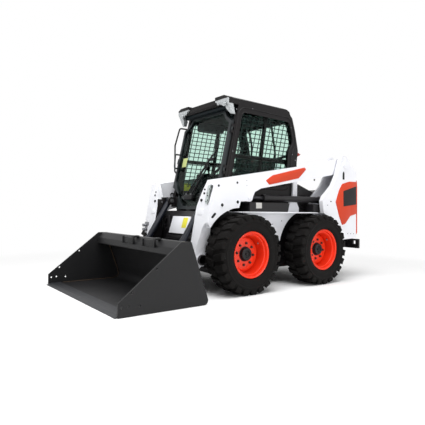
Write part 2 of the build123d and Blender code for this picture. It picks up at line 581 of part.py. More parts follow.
# ---------------------------------------------------------------- lift arms
def lift_arm(side):
    """Beam, shoulder and leg of one lift arm."""
    beam = side_plate([(-1596, 1454), (-887, 1311), (0, 1153), (324, 1101), (360, 925), (378, 845), (405, 690),
                       (300, 560), (100, 700), (20, 835), (-4, 905), (-98, 903), (-150, 912), (-165, 949),
                       (-192, 1001), (-276, 1040), (-494, 1081), (-890, 1149), (-1561, 1269)],
                      ARM_INNER, ARM_OUTER)
    beam += cross_rod(LIFT_PIVOT, ARM_END_RADIUS, ARM_INNER, ARM_OUTER)
    beam += cross_rod(LIFT_CYLINDER_FRONT, 44, ARM_INNER, ARM_OUTER)
    beam -= cross_rod((0, AXLE_Z), TYRE_RADIUS + 63, ARM_INNER - 1, ARM_OUTER + 1)
    leg_side = side_plate([(324, 1101), (360, 925), (378, 845), (405, 690), (430, 566), (452, 460), (470, 350),
                           (590, 222), (590, 150), (560, 141), (512, 158), (366, 292), (330, 420), (312, 560),
                           (312, 735), (285, 800), (285, 1105)], FOOT_INNER - 28, ARM_OUTER)
    leg_front = front_plate([(ARM_OUTER, 1105), (ARM_OUTER, 850), (ARM_OUTER - 41, 689), (ARM_OUTER - 76, 635),
                             (ARM_OUTER - 85, 566), (FOOT_OUTER, 460), (FOOT_OUTER, 130), (FOOT_INNER, 130),
                             (FOOT_INNER, 440), (FOOT_INNER - 13, 500), (FOOT_INNER - 20, 650),
                             (FOOT_INNER - 20, 760), (FOOT_INNER - 17, 850), (FOOT_INNER + 8, 928),
                             (ARM_INNER - 50, 1005), (ARM_INNER, 1105)], 200, 700)
    foot = cross_rod(BUCKET_PIVOT, BUCKET_PIVOT_RADIUS, FOOT_INNER, FOOT_OUTER)
    boss = cross_rod(CROSS_TUBE, CROSS_TUBE_RADIUS + 10, FOOT_INNER, FOOT_OUTER + 6)
    whole = beam + (leg_side & leg_front) + foot + boss
    whole -= block((590, 300, 100), (700, 700, 400))
    # the cylinder's eye works between the two skins
    slot_half = LIFT_EYE_RADIUS - 6
    whole -= block((-260, LIFT_CYLINDER_Y - slot_half, 860), (-20, LIFT_CYLINDER_Y + slot_half, 1075))
    whole -= cross_rod(LIFT_PIVOT, LIFT_PIN_RADIUS + PIN_CLEARANCE, ARM_INNER - 1, ARM_OUTER + 1)
    for hole in ((41, 894), (236, 861)):
        whole -= cross_rod(hole, 20, ARM_OUTER - 40, ARM_OUTER + 1)
    # bracket round the tilt cylinder's top eye
    ear_in, ear_out = tilt_ears()
    ears = [cross_rod(TILT_PIN_TOP, 42, *ear_in), cross_rod(TILT_PIN_TOP, 42, ear_out[0], FOOT_INNER + 8)]
    tie = block((TILT_PIN_TOP[0] - 60, ear_in[0], TILT_PIN_TOP[1] - 40),
                (TILT_PIN_TOP[0] - 42, FOOT_INNER + 22, TILT_PIN_TOP[1] + 40))
    link = [block((TILT_PIN_TOP[0] - 50, ear_in[0], TILT_PIN_TOP[1] - 40),
                  (TILT_PIN_TOP[0], ear_in[1], TILT_PIN_TOP[1] + 40)),
            block((TILT_PIN_TOP[0] - 50, ear_out[0], TILT_PIN_TOP[1] - 40),
                  (TILT_PIN_TOP[0] + 60, FOOT_INNER + 22, TILT_PIN_TOP[1] + 40))]
    pin = cross_rod(TILT_PIN_TOP, CYLINDER_PIN_RADIUS, ear_in[0], ear_out[1])
    whole += ears + [tie, pin] + link
    whole -= cross_rod(CROSS_TUBE, CROSS_TUBE_RADIUS, 300, 700)
    whole -= cross_rod(BUCKET_PIVOT, CYLINDER_PIN_RADIUS + PIN_CLEARANCE, 300, 700)
    return on_side(whole, side)


def tilt_ears():
    """The y spans of the inner and the outer ear beside the tilt cylinder's eyes."""
    half = TILT_EYE_WIDTH / 2 + EAR_GAP
    return ((TILT_CYLINDER_Y - half - EAR_THICKNESS, TILT_CYLINDER_Y - half),
            (TILT_CYLINDER_Y + half, TILT_CYLINDER_Y + half + EAR_THICKNESS))


def cross_tube():
    """Hollow tube that joins the two legs."""
    tube = cross_rod(CROSS_TUBE, CROSS_TUBE_RADIUS, -CROSS_TUBE_END, CROSS_TUBE_END)
    return tube - cross_rod(CROSS_TUBE, CROSS_TUBE_RADIUS - 10, -CROSS_TUBE_END - 1, CROSS_TUBE_END + 1)


def hose_couplers():
    """Hydraulic couplers on the right-hand leg."""
    block_y = -ARM_OUTER + 52
    whole = block((375, block_y - 45, 545), (418, block_y + 43, 668)) - lift_arm(SIDES["right"])
    for z in (585, 632):
        whole += bar((418, block_y, z), (418 + COUPLER_LENGTH, block_y, z), COUPLER_RADIUS)
    return whole


# ---------------------------------------------------------------- cylinders
def cylinder_barrel(rear, front, y, radius, rod_radius, length, eye_radius, eye_width):
    """Barrel with its rear eye and the bore that the rod runs in."""
    run = Vector(front[0] - rear[0], 0, front[1] - rear[1]).normalized()
    start = Vector(rear[0], y, rear[1])
    tube = bar(start + run * (eye_radius - 8), start + run * length, radius)
    gland = bar(start + run * (length - 45), start + run * length, radius + 4)
    eye = cross_rod(rear, eye_radius, y - eye_width / 2, y + eye_width / 2)
    bore = bar(start + run * (eye_radius + 20), start + run * (length + 5), rod_radius + PIN_CLEARANCE)
    return tube + gland + eye - bore - cross_rod(rear, CYLINDER_PIN_RADIUS + PIN_CLEARANCE, y - 90, y + 90)


def cylinder_rod(rear, front, y, rod_radius, length, eye_radius, eye_width):
    """Chromed rod with its eye."""
    run = Vector(front[0] - rear[0], 0, front[1] - rear[1]).normalized()
    end = Vector(front[0], y, front[1])
    rod = bar(end - run * length, end - run * (eye_radius - 6), rod_radius)
    eye = cross_rod(front, eye_radius, y - eye_width / 2, y + eye_width / 2)
    return rod + eye - cross_rod(front, CYLINDER_PIN_RADIUS, y - 90, y + 90)


def lift_barrels():
    """Both lift cylinder barrels."""
    return both_sides(cylinder_barrel(LIFT_CYLINDER_REAR, LIFT_CYLINDER_FRONT, LIFT_CYLINDER_Y, LIFT_BARREL_RADIUS,
                                      LIFT_ROD_RADIUS, LIFT_BARREL_LENGTH, LIFT_EYE_RADIUS, 60))


def lift_rods():
    """Both lift cylinder rods."""
    return both_sides(cylinder_rod(LIFT_CYLINDER_REAR, LIFT_CYLINDER_FRONT, LIFT_CYLINDER_Y, LIFT_ROD_RADIUS,
                                   LIFT_ROD_LENGTH, LIFT_EYE_RADIUS - 6, 60))


def tilt_barrels():
    """Both tilt cylinder barrels."""
    return both_sides(cylinder_barrel(TILT_PIN_TOP, TILT_PIN_LOW, TILT_CYLINDER_Y, TILT_BARREL_RADIUS,
                                      TILT_ROD_RADIUS, TILT_BARREL_LENGTH, TILT_EYE_RADIUS, TILT_EYE_WIDTH))


def tilt_rods():
    """Both tilt cylinder rods."""
    return both_sides(cylinder_rod(TILT_PIN_TOP, TILT_PIN_LOW, TILT_CYLINDER_Y, TILT_ROD_RADIUS,
                                   TILT_ROD_LENGTH, TILT_EYE_RADIUS, TILT_EYE_WIDTH))


# ---------------------------------------------------------------- bucket and its coupler
BACK_RUN = hypot(BUCKET_TOP_REAR - BUCKET_REAR, BUCKET_HEIGHT)
BACK_X, BACK_Z = (BUCKET_TOP_REAR - BUCKET_REAR) / BACK_RUN, BUCKET_HEIGHT / BACK_RUN


def behind(up, out):
    """The (x, z) place that lies up the bucket's back and out behind it."""
    return (BUCKET_REAR + BACK_X * up - BACK_Z * out, BACK_Z * up + BACK_X * out)


def bucket_shell():
    """Floor, back and formed top lip in one bent sheet."""
    half = BUCKET_WIDTH / 2 - BUCKET_SIDE
    t, top, floor_front = BUCKET_SHEET, BUCKET_HEIGHT, FRONT_REACH - EDGE_LENGTH
    fold, lip = (BUCKET_TOP_FRONT + 8, top - 56), (BUCKET_TOP_FRONT + 14, top - LIP_DROP)
    outer = side_plate([(floor_front, 0), (BUCKET_REAR, 0), (BUCKET_TOP_REAR, top), (BUCKET_TOP_FRONT - 44, top), fold,
                        lip, (floor_front, top - LIP_DROP)], -half, half,
                       radius=[1, BUCKET_HEEL_RADIUS, 20, 16, 12, 1, 1])
    inner = side_plate([(floor_front + 50, t), (BUCKET_REAR + t * 1.45, t), (BUCKET_TOP_REAR + t * 0.7, top - t),
                        (BUCKET_TOP_FRONT - 48, top - t), (fold[0] - t, fold[1] - 3), (lip[0] - t, lip[1] - t),
                        (lip[0] + 24, lip[1] - t), (floor_front + 50, lip[1] + t)],
                       -half - 5, half + 5, radius=[1, BUCKET_HEEL_RADIUS - t, 10, 6, 6, 1, 1, 1])
    mouth = block((lip[0] + 1, -half - 5, t + 1), (floor_front + 50, half + 5, top))
    return outer - inner - mouth


def bucket_sides():
    """The two side plates."""
    outline = [(BUCKET_REAR, 0), (BUCKET_TOP_REAR, BUCKET_HEIGHT), (BUCKET_TOP_FRONT, BUCKET_HEIGHT),
               (FRONT_REACH - 18, 110), (FRONT_REACH - 18, 0)]
    half = BUCKET_WIDTH / 2
    plate = side_plate(outline, half - BUCKET_SIDE, half, radius=[40, 12, 20, 10, 10])
    for hole in ((-50, 76), (-103, 80), (-200, 72), (-133, 178), (-348, 345)):
        plate -= cross_rod((FRONT_REACH + hole[0], hole[1]), 9, half - BUCKET_SIDE - 1, half + 1)
    return both_sides(plate)


def cutting_edge():
    """Wedge across the front of the floor."""
    half = BUCKET_WIDTH / 2 - BUCKET_SIDE
    back = FRONT_REACH - EDGE_LENGTH
    return side_plate([(back, 0), (FRONT_REACH, 0), (FRONT_REACH, 4), (FRONT_REACH - 40, EDGE_THICKNESS),
                       (back, EDGE_THICKNESS)], -half, half)


def coupler():
    """Quick coupler: plate behind the bucket with the ears that the legs and tilt cylinders pin to."""
    half_plate = FOOT_OUTER + 40
    plate = side_plate([behind(90, 0), behind(500, 0), behind(500, 24), behind(90, 24)], -half_plate, half_plate)
    top_bar = cross_rod(behind(528, 20), 18, -tilt_ears()[0][0] + 30, tilt_ears()[0][0] - 30)
    strap = [behind(470, 2), behind(470, 22), behind(530, 22), behind(530, 2)]
    straps = [side_plate(strap, y - 15, y + 15) for y in (-180, 0, 180)]
    ear_in, ear_out = tilt_ears()
    pivot_x, pivot_z = BUCKET_PIVOT
    tilt_x, tilt_z = TILT_PIN_LOW
    tall = [behind(92, 20), (pivot_x - 5, pivot_z - 45), (pivot_x - 42, pivot_z - 10), (tilt_x - 42, tilt_z),
            (tilt_x - 20, tilt_z + 36), behind(440, 20)]
    low = [behind(92, 20), (pivot_x - 5, pivot_z - 45), (pivot_x - 42, pivot_z - 10), (pivot_x - 30, pivot_z + 36),
           behind(280, 20)]
    ears = [side_plate(tall, *ear_in), side_plate(tall, *ear_out),
            side_plate(low, FOOT_OUTER + 5, FOOT_OUTER + 27)]
    pins = [cross_rod(BUCKET_PIVOT, CYLINDER_PIN_RADIUS, ear_out[0], FOOT_OUTER + 27)]
    half = Part() + ears + pins
    window = side_plate([behind(250, -5), behind(430, -5), behind(430, 30), behind(250, 30)], ear_in[1], ear_out[0])
    return both_sides(half) + (plate - both_sides(window)) + top_bar + straps


# ---------------------------------------------------------------- the pieces
def build_pieces():
    """Every node's name and its solids."""
    pieces = {
        "main_frame": main_frame(), "fenders": fenders(), "side_boxes": side_boxes(),
        "axle_housings": axle_housings(), "engine_block": engine_block(), "rear_hood": rear_hood(),
        "engine_screens": engine_screens(), "rear_bumper": rear_bumper(), "tail_lamps": tail_lamps(),
        "tailgate": tailgate(), "cab_windows": cab_windows(), "cab_back": cab_back(),
        "cab_roof": cab_roof(), "cab_floor": cab_floor(), "cab_lamps": cab_lamps(), "seat": seat(),
        "seat_bar": seat_bar(), "levers": levers(), "grab_loop": grab_loop(), "door_frame": door_frame(),
        "door_glass": door_glass(), "cross_tube": cross_tube(),
        "hose_couplers": hose_couplers(), "lift_barrels": lift_barrels(), "lift_rods": lift_rods(),
        "tilt_barrels": tilt_barrels(), "tilt_rods": tilt_rods(), "bucket_shell": bucket_shell(),
        "bucket_sides": bucket_sides(), "cutting_edge": cutting_edge(), "coupler": coupler(),
    }
    for side_name, side in SIDES.items():
        pieces["tower_" + side_name] = tower(side)
        pieces["cab_side_" + side_name] = cab_side(side)
        pieces["lift_arm_" + side_name] = lift_arm(side)
        for axle_name, axle_x in AXLES.items():
            pieces[f"tyre_{axle_name}_{side_name}"] = tyre(axle_x, side)
            pieces[f"rim_{axle_name}_{side_name}"] = rim(axle_x, side)
    return pieces


def export_pieces(pieces):
    """Write each piece to its own STEP file, in the row's frame."""
    os.makedirs("parts", exist_ok=True)
    for name, solid in pieces.items():
        export_step(Pos(ORIGIN_SHIFT, 0, 0) * solid, f"parts/{name}.step")


export_pieces(build_pieces())
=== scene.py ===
"""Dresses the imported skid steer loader: finishes, tyres, rims, cab fittings and painted details."""
from __future__ import annotations

import json
import logging
import math
from dataclasses import dataclass, field
from enum import Enum
from typing import Any, Iterable, Iterator, Sequence

import bmesh
import bpy
from mathutils import Matrix, Vector

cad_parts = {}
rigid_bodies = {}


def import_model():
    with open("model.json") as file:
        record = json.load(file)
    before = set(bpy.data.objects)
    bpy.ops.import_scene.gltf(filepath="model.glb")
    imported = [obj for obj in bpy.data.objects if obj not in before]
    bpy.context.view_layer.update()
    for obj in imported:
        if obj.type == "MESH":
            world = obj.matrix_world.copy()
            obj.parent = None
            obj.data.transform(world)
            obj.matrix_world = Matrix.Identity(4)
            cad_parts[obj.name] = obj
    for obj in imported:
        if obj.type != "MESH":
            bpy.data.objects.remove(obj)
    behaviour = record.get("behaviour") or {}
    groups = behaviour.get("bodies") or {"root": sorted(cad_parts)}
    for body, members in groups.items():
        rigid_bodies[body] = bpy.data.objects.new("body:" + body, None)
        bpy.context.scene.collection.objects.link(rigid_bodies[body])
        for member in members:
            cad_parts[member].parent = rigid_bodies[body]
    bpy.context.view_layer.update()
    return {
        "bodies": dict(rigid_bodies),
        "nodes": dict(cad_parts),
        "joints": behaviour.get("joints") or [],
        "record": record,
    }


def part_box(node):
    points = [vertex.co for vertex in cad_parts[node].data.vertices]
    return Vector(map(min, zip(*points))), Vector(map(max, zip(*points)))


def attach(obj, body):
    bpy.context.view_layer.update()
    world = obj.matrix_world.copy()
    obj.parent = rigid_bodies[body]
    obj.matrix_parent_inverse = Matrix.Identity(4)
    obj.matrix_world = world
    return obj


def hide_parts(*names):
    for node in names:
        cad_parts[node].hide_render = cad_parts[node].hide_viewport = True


LOG = logging.getLogger("loader")
Point = tuple[float, float, float]
Colour = tuple[float, float, float]
Flat = tuple[float, float]


# ------------------------------------------------------------------ finishes
def linear(red: int, green: int, blue: int) -> Colour:
    """A display colour of 0 to 255 steps as the linear colour that shaders take."""
    return tuple((c / 255) ** 2.2 for c in (red, green, blue))


def clouds(tree: bpy.types.NodeTree, place: bpy.types.NodeSocket, scale: float,
           detail: float) -> bpy.types.NodeSocket:
    """Soft noise through the solid.

    Args:
        tree: The material's node tree.
        place: The socket that says where the noise is read.
        scale: Patches per metre.
        detail: How many finer layers the noise has.

    Returns:
        The socket that carries the noise.
    """
    noise = tree.nodes.new("ShaderNodeTexNoise")
    noise.inputs["Scale"].default_value = scale
    noise.inputs["Detail"].default_value = detail
    tree.links.new(place, noise.inputs["Vector"])
    return noise.outputs["Fac"]


def tint_shader(tree: bpy.types.NodeTree, factor: bpy.types.NodeSocket, colour: Colour, depth: float) -> None:
    """Give the shader a colour that darkens a little in patches.

    Args:
        tree: The material's node tree.
        factor: 0 where the patches are darkest, 1 where the colour is whole.
        colour: Linear colour.
        depth: How much darker the patches are, 0 to 1.
    """
    shade = tree.nodes.new("ShaderNodeMix")
    shade.data_type = "RGBA"
    shade.inputs["A"].default_value = (*[c * (1 - depth) for c in colour], 1)
    shade.inputs["B"].default_value = (*colour, 1)
    tree.links.new(factor, shade.inputs["Factor"])
    tree.links.new(shade.outputs["Result"], tree.nodes["Principled BSDF"].inputs["Base Color"])


@dataclass(frozen=True)
class Finish:
    """A solid coating with its colour variation, grain and gloss.

    Attributes:
        name: Material name.
        colour: Linear base colour.
        roughness: Mean roughness.
        metallic: 0 for paint, rubber and plastic, 1 for bare metal.
        mottle: How much darker the cloudy patches are, 0 to 1.
        mottle_scale: Patches per metre.
        grain: Height of the fine grain, in metres.
        grain_scale: Grains per metre.
        coat: Weight of a clear coat.
        specular: Strength of the reflection that paint and rubber have, 0.5 for plain gloss.
        stretch: Factors that squeeze the patches and the grain along x, y and z.
        roughness_swing: How far the roughness strays each way from patch to patch.
    """
    name: str
    colour: Colour
    roughness: float = 0.4
    metallic: float = 0.0
    mottle: float = 0.08
    mottle_scale: float = 6.0
    grain: float = 0.0002
    grain_scale: float = 350.0
    coat: float = 0.0
    specular: float = 0.5
    stretch: Point = (1.0, 1.0, 1.0)
    roughness_swing: float = 0.08

    def material(self) -> bpy.types.Material:
        """The material, made on first use.

        Returns:
            A node material of that name.
        """
        label = f"{self.name}_coating"
        known = bpy.data.materials.get(label)
        if known:
            return known
        made = bpy.data.materials.new(label)
        made.use_nodes = True
        tree, nodes, links = made.node_tree, made.node_tree.nodes, made.node_tree.links
        shader = nodes["Principled BSDF"]
        shader.inputs["Metallic"].default_value = self.metallic
        shader.inputs["Coat Weight"].default_value = self.coat
        shader.inputs["Coat Roughness"].default_value = 0.08
        shader.inputs["Specular IOR Level"].default_value = self.specular
        place = nodes.new("ShaderNodeTexCoord")
        spread = nodes.new("ShaderNodeMapping")
        spread.inputs["Scale"].default_value = self.stretch
        links.new(place.outputs["Object"], spread.inputs["Vector"])
        patches = clouds(tree, spread.outputs["Vector"], self.mottle_scale, 5.0)
        tint_shader(tree, patches, self.colour, self.mottle)
        gloss = nodes.new("ShaderNodeMapRange")
        gloss.inputs["To Min"].default_value = max(0.02, self.roughness - self.roughness_swing)
        gloss.inputs["To Max"].default_value = min(1.0, self.roughness + self.roughness_swing)
        links.new(patches, gloss.inputs["Value"])
        links.new(gloss.outputs["Result"], shader.inputs["Roughness"])
        bump = nodes.new("ShaderNodeBump")
        bump.inputs["Distance"].default_value = self.grain
        bump.inputs["Strength"].default_value = 0.6
        links.new(clouds(tree, spread.outputs["Vector"], self.grain_scale, 3.0), bump.inputs["Height"])
        links.new(bump.outputs["Normal"], shader.inputs["Normal"])
        return made


@dataclass(frozen=True)
class Pane:
    """Tinted glass that light passes through.

    Attributes:
        name: Material name.
        tint: Linear colour that white has when seen through it.
        roughness: Roughness of its surface.
        bend: Index of refraction.
        streak: How much darker its faint streaks are, 0 to 1.
    """
    name: str
    tint: Colour
    roughness: float = 0.0
    bend: float = 1.12
    streak: float = 0.06

    def material(self) -> bpy.types.Material:
        """The material, made on first use.

        Returns:
            A node material that passes light and tints it a little unevenly.
        """
        label = f"{self.name}_pane"
        known = bpy.data.materials.get(label)
        if known:
            return known
        made = bpy.data.materials.new(label)
        made.use_nodes = True
        tree = made.node_tree
        shader = tree.nodes["Principled BSDF"]
        shader.inputs["Roughness"].default_value = self.roughness
        shader.inputs["Transmission Weight"].default_value = 1.0
        shader.inputs["IOR"].default_value = self.bend
        place = tree.nodes.new("ShaderNodeTexCoord")
        tint_shader(tree, clouds(tree, place.outputs["Object"], 3.0, 2.0), self.tint, self.streak)
        return made


Coating = Finish | Pane


WHITE = Finish("white_enamel", linear(236, 237, 242), roughness=0.34, mottle=0.03, grain=0.00004, coat=0.15)
BLACK = Finish("black_enamel", linear(27, 25, 27), roughness=0.45, mottle=0.15, grain=0.00006, specular=0.3)
CAB_BLACK = Finish("cab_black", linear(26, 24, 25), roughness=0.42, mottle=0.12, grain=0.00005, specular=0.2)
DOOR_GREY = Finish("door_grey", linear(42, 46, 48), roughness=0.4, mottle=0.12, grain=0.00005, specular=0.3)
CHARCOAL = Finish("bucket_charcoal", linear(33, 33, 34), roughness=0.5, mottle=0.22, mottle_scale=4.0,
                  grain=0.00012, grain_scale=120.0, specular=0.25)
EDGE = Finish("worn_edge", linear(56, 57, 60), roughness=0.45, metallic=0.3, mottle=0.4, mottle_scale=9.0,
              grain=0.0002, specular=0.3, stretch=(6.0, 1.0, 1.0))
RED = Finish("orange_red_enamel", linear(238, 60, 32), roughness=0.34, mottle=0.05, grain=0.00003, specular=0.35)
BADGE = Finish("badge_red", linear(204, 66, 38), roughness=0.42, mottle=0.05, grain=0.00001, specular=0.25)
RUBBER = Finish("tyre_rubber", linear(19, 17, 16), roughness=0.7, mottle=0.3, mottle_scale=14.0,
                grain=0.0004, grain_scale=160.0, specular=0.14)
NAVY = Finish("navy_enamel", linear(25, 28, 37), roughness=0.35, mottle=0.1, grain=0.00003, specular=0.35)
ROD_DARK = Finish("rod_dark", linear(66, 66, 70), roughness=0.3, metallic=0.7, mottle=0.1, grain=0.00002)
CHROME = Finish("rod_chrome", linear(205, 207, 212), roughness=0.14, metallic=1.0, mottle=0.03, grain=0.00001)
STEEL = Finish("zinc_steel", linear(140, 141, 144), roughness=0.36, metallic=0.9, mottle=0.15, grain=0.00005)
NUT = Finish("wheel_nut", linear(84, 60, 56), roughness=0.45, metallic=0.4, mottle=0.2, grain=0.00005)
VINYL = Finish("seat_vinyl", linear(30, 30, 33), roughness=0.62, mottle=0.12, grain=0.0005, grain_scale=420.0)
PLASTIC = Finish("black_plastic", linear(22, 22, 24), roughness=0.55, mottle=0.08, grain=0.0002, grain_scale=600.0,
                 specular=0.3)
TEAL = Finish("lining_teal", linear(18, 27, 31), roughness=0.7, mottle=0.2, grain=0.0004, specular=0.2)
WIRE = Finish("screen_wire", linear(34, 52, 50), roughness=0.5, mottle=0.1, grain=0.00002, specular=0.2)
IRON = Finish("engine_iron", linear(56, 56, 58), roughness=0.6, metallic=0.3, mottle=0.4, grain=0.0005)
YELLOW = Finish("yellow_plate", linear(236, 226, 60), roughness=0.4, mottle=0.04, grain=0.00001)
LIME = Finish("lime_plate", linear(190, 200, 130), roughness=0.4, mottle=0.06, grain=0.00001)
SILVER = Finish("silver_plate", linear(196, 194, 190), roughness=0.3, metallic=0.5, mottle=0.1, grain=0.00001)
FITTING = Finish("fitting_grey", linear(206, 216, 214), roughness=0.4, metallic=0.1, mottle=0.45,
                 mottle_scale=70.0, grain=0.0002)
RED_LENS = Finish("red_lens", linear(150, 40, 30), roughness=0.18, mottle=0.1, grain=0.0002, grain_scale=90.0)
LAMP_SILVER = Finish("lamp_reflector", linear(200, 204, 206), roughness=0.25, metallic=0.5, mottle=0.35,
                     mottle_scale=55.0, grain=0.003, grain_scale=70.0)
WELD = Finish("weld_bead", linear(74, 62, 50), roughness=0.6, mottle=0.4, mottle_scale=30.0, grain=0.0006,
              specular=0.2)
CAB_GLASS = Pane("cab_glass", linear(226, 246, 238))
LENS = Pane("lamp_lens", linear(240, 244, 246))

SLOT_FINISH = {"white_paint": WHITE, "black_paint": BLACK, "cab_paint": CAB_BLACK, "bucket_paint": CHARCOAL,
               "edge_steel": EDGE, "rim_paint": RED, "tyre_rubber": RUBBER, "cab_glass": CAB_GLASS,
               "clear_lens": LENS, "red_lens": RED_LENS, "engine_metal": IRON, "seat_vinyl": VINYL,
               "black_plastic": PLASTIC, "rod_chrome": CHROME, "cylinder_paint": NAVY, "bare_steel": STEEL}
NODE_FINISH = {"tail_lamps": BADGE, "cab_lamps": LAMP_SILVER, "door_frame": DOOR_GREY, "main_frame": BLACK,
               "cross_tube": BLACK, "lift_rods": ROD_DARK, "tilt_rods": ROD_DARK}


@dataclass(frozen=True)
class SecondCoat:
    """A second colour on the faces of a node that stand in a band beside the machine's middle.

    Attributes:
        finish: The second coating.
        low: Where the band starts, in metres from the middle.
        high: Where the band ends.
    """
    finish: Finish
    low: float
    high: float

    def apply(self, mesh: bpy.types.Mesh) -> None:
        """Coat the faces whose middle lies in the band.

        Args:
            mesh: The node's finished mesh.
        """
        mesh.materials.append(self.finish.material())
        for face in mesh.polygons:
            if self.low < abs(face.center.y) < self.high:
                face.material_index = 1


SECOND_COATS = {"engine_screens": SecondCoat(WHITE, 0.457, 1.0), "lift_arm_left": SecondCoat(BLACK, 0.0, 0.396),
                "lift_arm_right": SecondCoat(BLACK, 0.0, 0.396)}


class Side(Enum):
    """The machine's own left and right."""
    LEFT = 1
    RIGHT = -1

    @property
    def word(self) -> str:
        """The side's name as pieces use it."""
        return self.name.lower()

    @property
    def out(self) -> Point:
        """Direction that points away from the machine's middle."""
        return (0, self.value, 0)


class End(Enum):
    """The two ends that carry an axle."""
    FRONT = "front"
    REAR = "rear"


class Facing(Enum):
    """Which way a flat plate faces, as the axis of its thickness."""
    AHEAD = 0
    SIDEWAYS = 1


class Rounding(Enum):
    """What a rounding works on."""
    EDGES = "EDGES"
    CORNERS = "VERTICES"


FORWARD: Point = (1, 0, 0)


# ------------------------------------------------------------------ workshop
@dataclass
class Workshop:
    """Turns bmeshes into finished pieces that ride on their bodies.

    Attributes:
        frame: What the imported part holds.
        count: How many pieces were made.
    """
    frame: dict[str, Any]
    count: int = 0

    def node_facts(self) -> dict[str, tuple[str, str]]:
        """Each node's body and material slot.

        Returns:
            Node name to (body, slot).
        """
        record = self.frame["record"]
        body_of = {n: b for b, nodes in record["behaviour"]["bodies"].items() for n in nodes}
        return {row["node"]: (body_of[row["node"]], row["material_slot"]) for row in record["subparts"]}

    def finish_piece(self, name: str, mesh: bpy.types.Mesh, finish: Coating, body: str, slot: str,
                     smooth: float = 35.0) -> bpy.types.Object:
        """Make an object of the mesh, smooth it, coat it and put it on its body.

        Args:
            name: Piece name.
            mesh: Its mesh, already in place.
            finish: Its coating.
            body: The CAD body it rides on.
            slot: The record's material slot; not used.
            smooth: Edges sharper than this many degrees stay sharp.

        Returns:
            The new object.
        """
        mesh.shade_smooth()
        mesh.set_sharp_from_angle(angle=math.radians(smooth))
        mesh.materials.clear()
        mesh.materials.append(finish.material())
        piece = bpy.data.objects.new(name, mesh)
        bpy.context.scene.collection.objects.link(piece)
        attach(piece, body)
        self.count += 1
        LOG.info("piece %s on %s", name, body)
        return piece

    def from_bmesh(self, name: str, shape: bmesh.types.BMesh, finish: Coating, body: str, slot: str,
                   smooth: float = 35.0) -> bpy.types.Object:
        """Finish a piece straight from a bmesh, which is freed.

        Args:
            name: Piece name.
            shape: The bmesh.
            finish: Its coating.
            body: The CAD body it rides on.
            slot: The record's material slot; passed on to finish_piece, which does not use it.
            smooth: Edges sharper than this many degrees stay sharp.

        Returns:
            The new object.
        """
        mesh = bpy.data.meshes.new(name)
        shape.to_mesh(mesh)
        shape.free()
        return self.finish_piece(name, mesh, finish, body, slot, smooth)

    def refine(self, node: str, bevel: float) -> None:
        """Replace a CAD node by a merged copy with softened edges.

        Args:
            node: The CAD node.
            bevel: Width of its edge rounding, in metres.
        """
        body, slot = self.node_facts()[node]
        shape = bmesh.new()
        shape.from_mesh(self.frame["nodes"][node].data)
        bmesh.ops.remove_doubles(shape, verts=shape.verts, dist=1e-5)
        bmesh.ops.dissolve_limit(shape, angle_limit=math.radians(1.0), verts=shape.verts, edges=shape.edges)
        finish = NODE_FINISH.get(node, SLOT_FINISH[slot])
        piece = self.from_bmesh(f"{node}_finished", shape, finish, body, slot)
        if node in SECOND_COATS:
            SECOND_COATS[node].apply(piece.data)
        if bevel:
            rounding = piece.modifiers.new("edges", "BEVEL")
            rounding.width = bevel
            rounding.segments = 2
            rounding.limit_method = "ANGLE"
            rounding.angle_limit = math.radians(38)
            rounding.harden_normals = True
        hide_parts(node)


# ------------------------------------------------------------------ places
@dataclass(frozen=True)
class Datum:
    """Turns millimetres from the front axle into places in the frame.

    Attributes:
        axle: Where the front axle stands along X, in metres.
    """
    axle: float

    def at(self, x: float, y: float, z: float) -> Point:
        """The place x ahead of the axle, y to the left and z above the ground."""
        return (x / 1000 + self.axle, y / 1000, z / 1000)

    def side(self, outline: Sequence[Flat]) -> list[Flat]:
        """An outline of (x, z) seen from the side."""
        return [(x / 1000 + self.axle, z / 1000) for x, z in outline]

    def front(self, outline: Sequence[Flat]) -> list[Flat]:
        """An outline of (y, z) seen from ahead."""
        return [(y / 1000, z / 1000) for y, z in outline]


def corners(outline: Sequence[Flat]) -> Iterator[tuple[Vector, Vector, Vector]]:
    """Each corner of a closed outline between its neighbours.

    Args:
        outline: Its corners in order.

    Returns:
        The corner before, the corner itself and the one after, for each in turn.
    """
    points = [Vector(p) for p in outline]
    return zip(points[-1:] + points[:-1], points, points[1:] + points[:1])


def grown(outline: Sequence[Flat], by: float) -> list[Flat]:
    """An outline moved outwards all round.

    Args:
        outline: Its corners in order.
        by: How far its edges move.

    Returns:
        The corners of the larger outline.
    """
    area = sum(here.x * after.y - after.x * here.y for _, here, after in corners(outline))
    turn = 1.0 if area > 0 else -1.0
    made = []
    for before, here, after in corners(outline):
        normals = [Vector((run.y, -run.x)).normalized() * turn for run in (here - before, after - here)]
        middle = (normals[0] + normals[1]).normalized()
        made.append(tuple(here + middle * (by / max(0.3, middle.dot(normals[0])))))
    return made


def crossings(outline: Sequence[Flat], start: Flat, step: Flat) -> tuple[Flat, Flat] | None:
    """Where a straight line enters and leaves an outline.

    Args:
        outline: Corners in order.
        start: A point on the line.
        step: The line's direction.

    Returns:
        The first and the last crossing, or None where it misses.
    """
    found = []
    for a, b in zip(outline, [*outline[1:], outline[0]]):
        edge = (b[0] - a[0], b[1] - a[1])
        cross = step[0] * edge[1] - step[1] * edge[0]
        if abs(cross) < 1e-9:
            continue
        gap = (a[0] - start[0], a[1] - start[1])
        along_edge = (gap[0] * step[1] - gap[1] * step[0]) / cross
        if 0 <= along_edge <= 1:
            found.append((gap[0] * edge[1] - gap[1] * edge[0]) / cross)
    if len(found) < 2 or max(found) - min(found) < 1e-6:
        return None
    return tuple((start[0] + step[0] * t, start[1] + step[1] * t) for t in (min(found), max(found)))


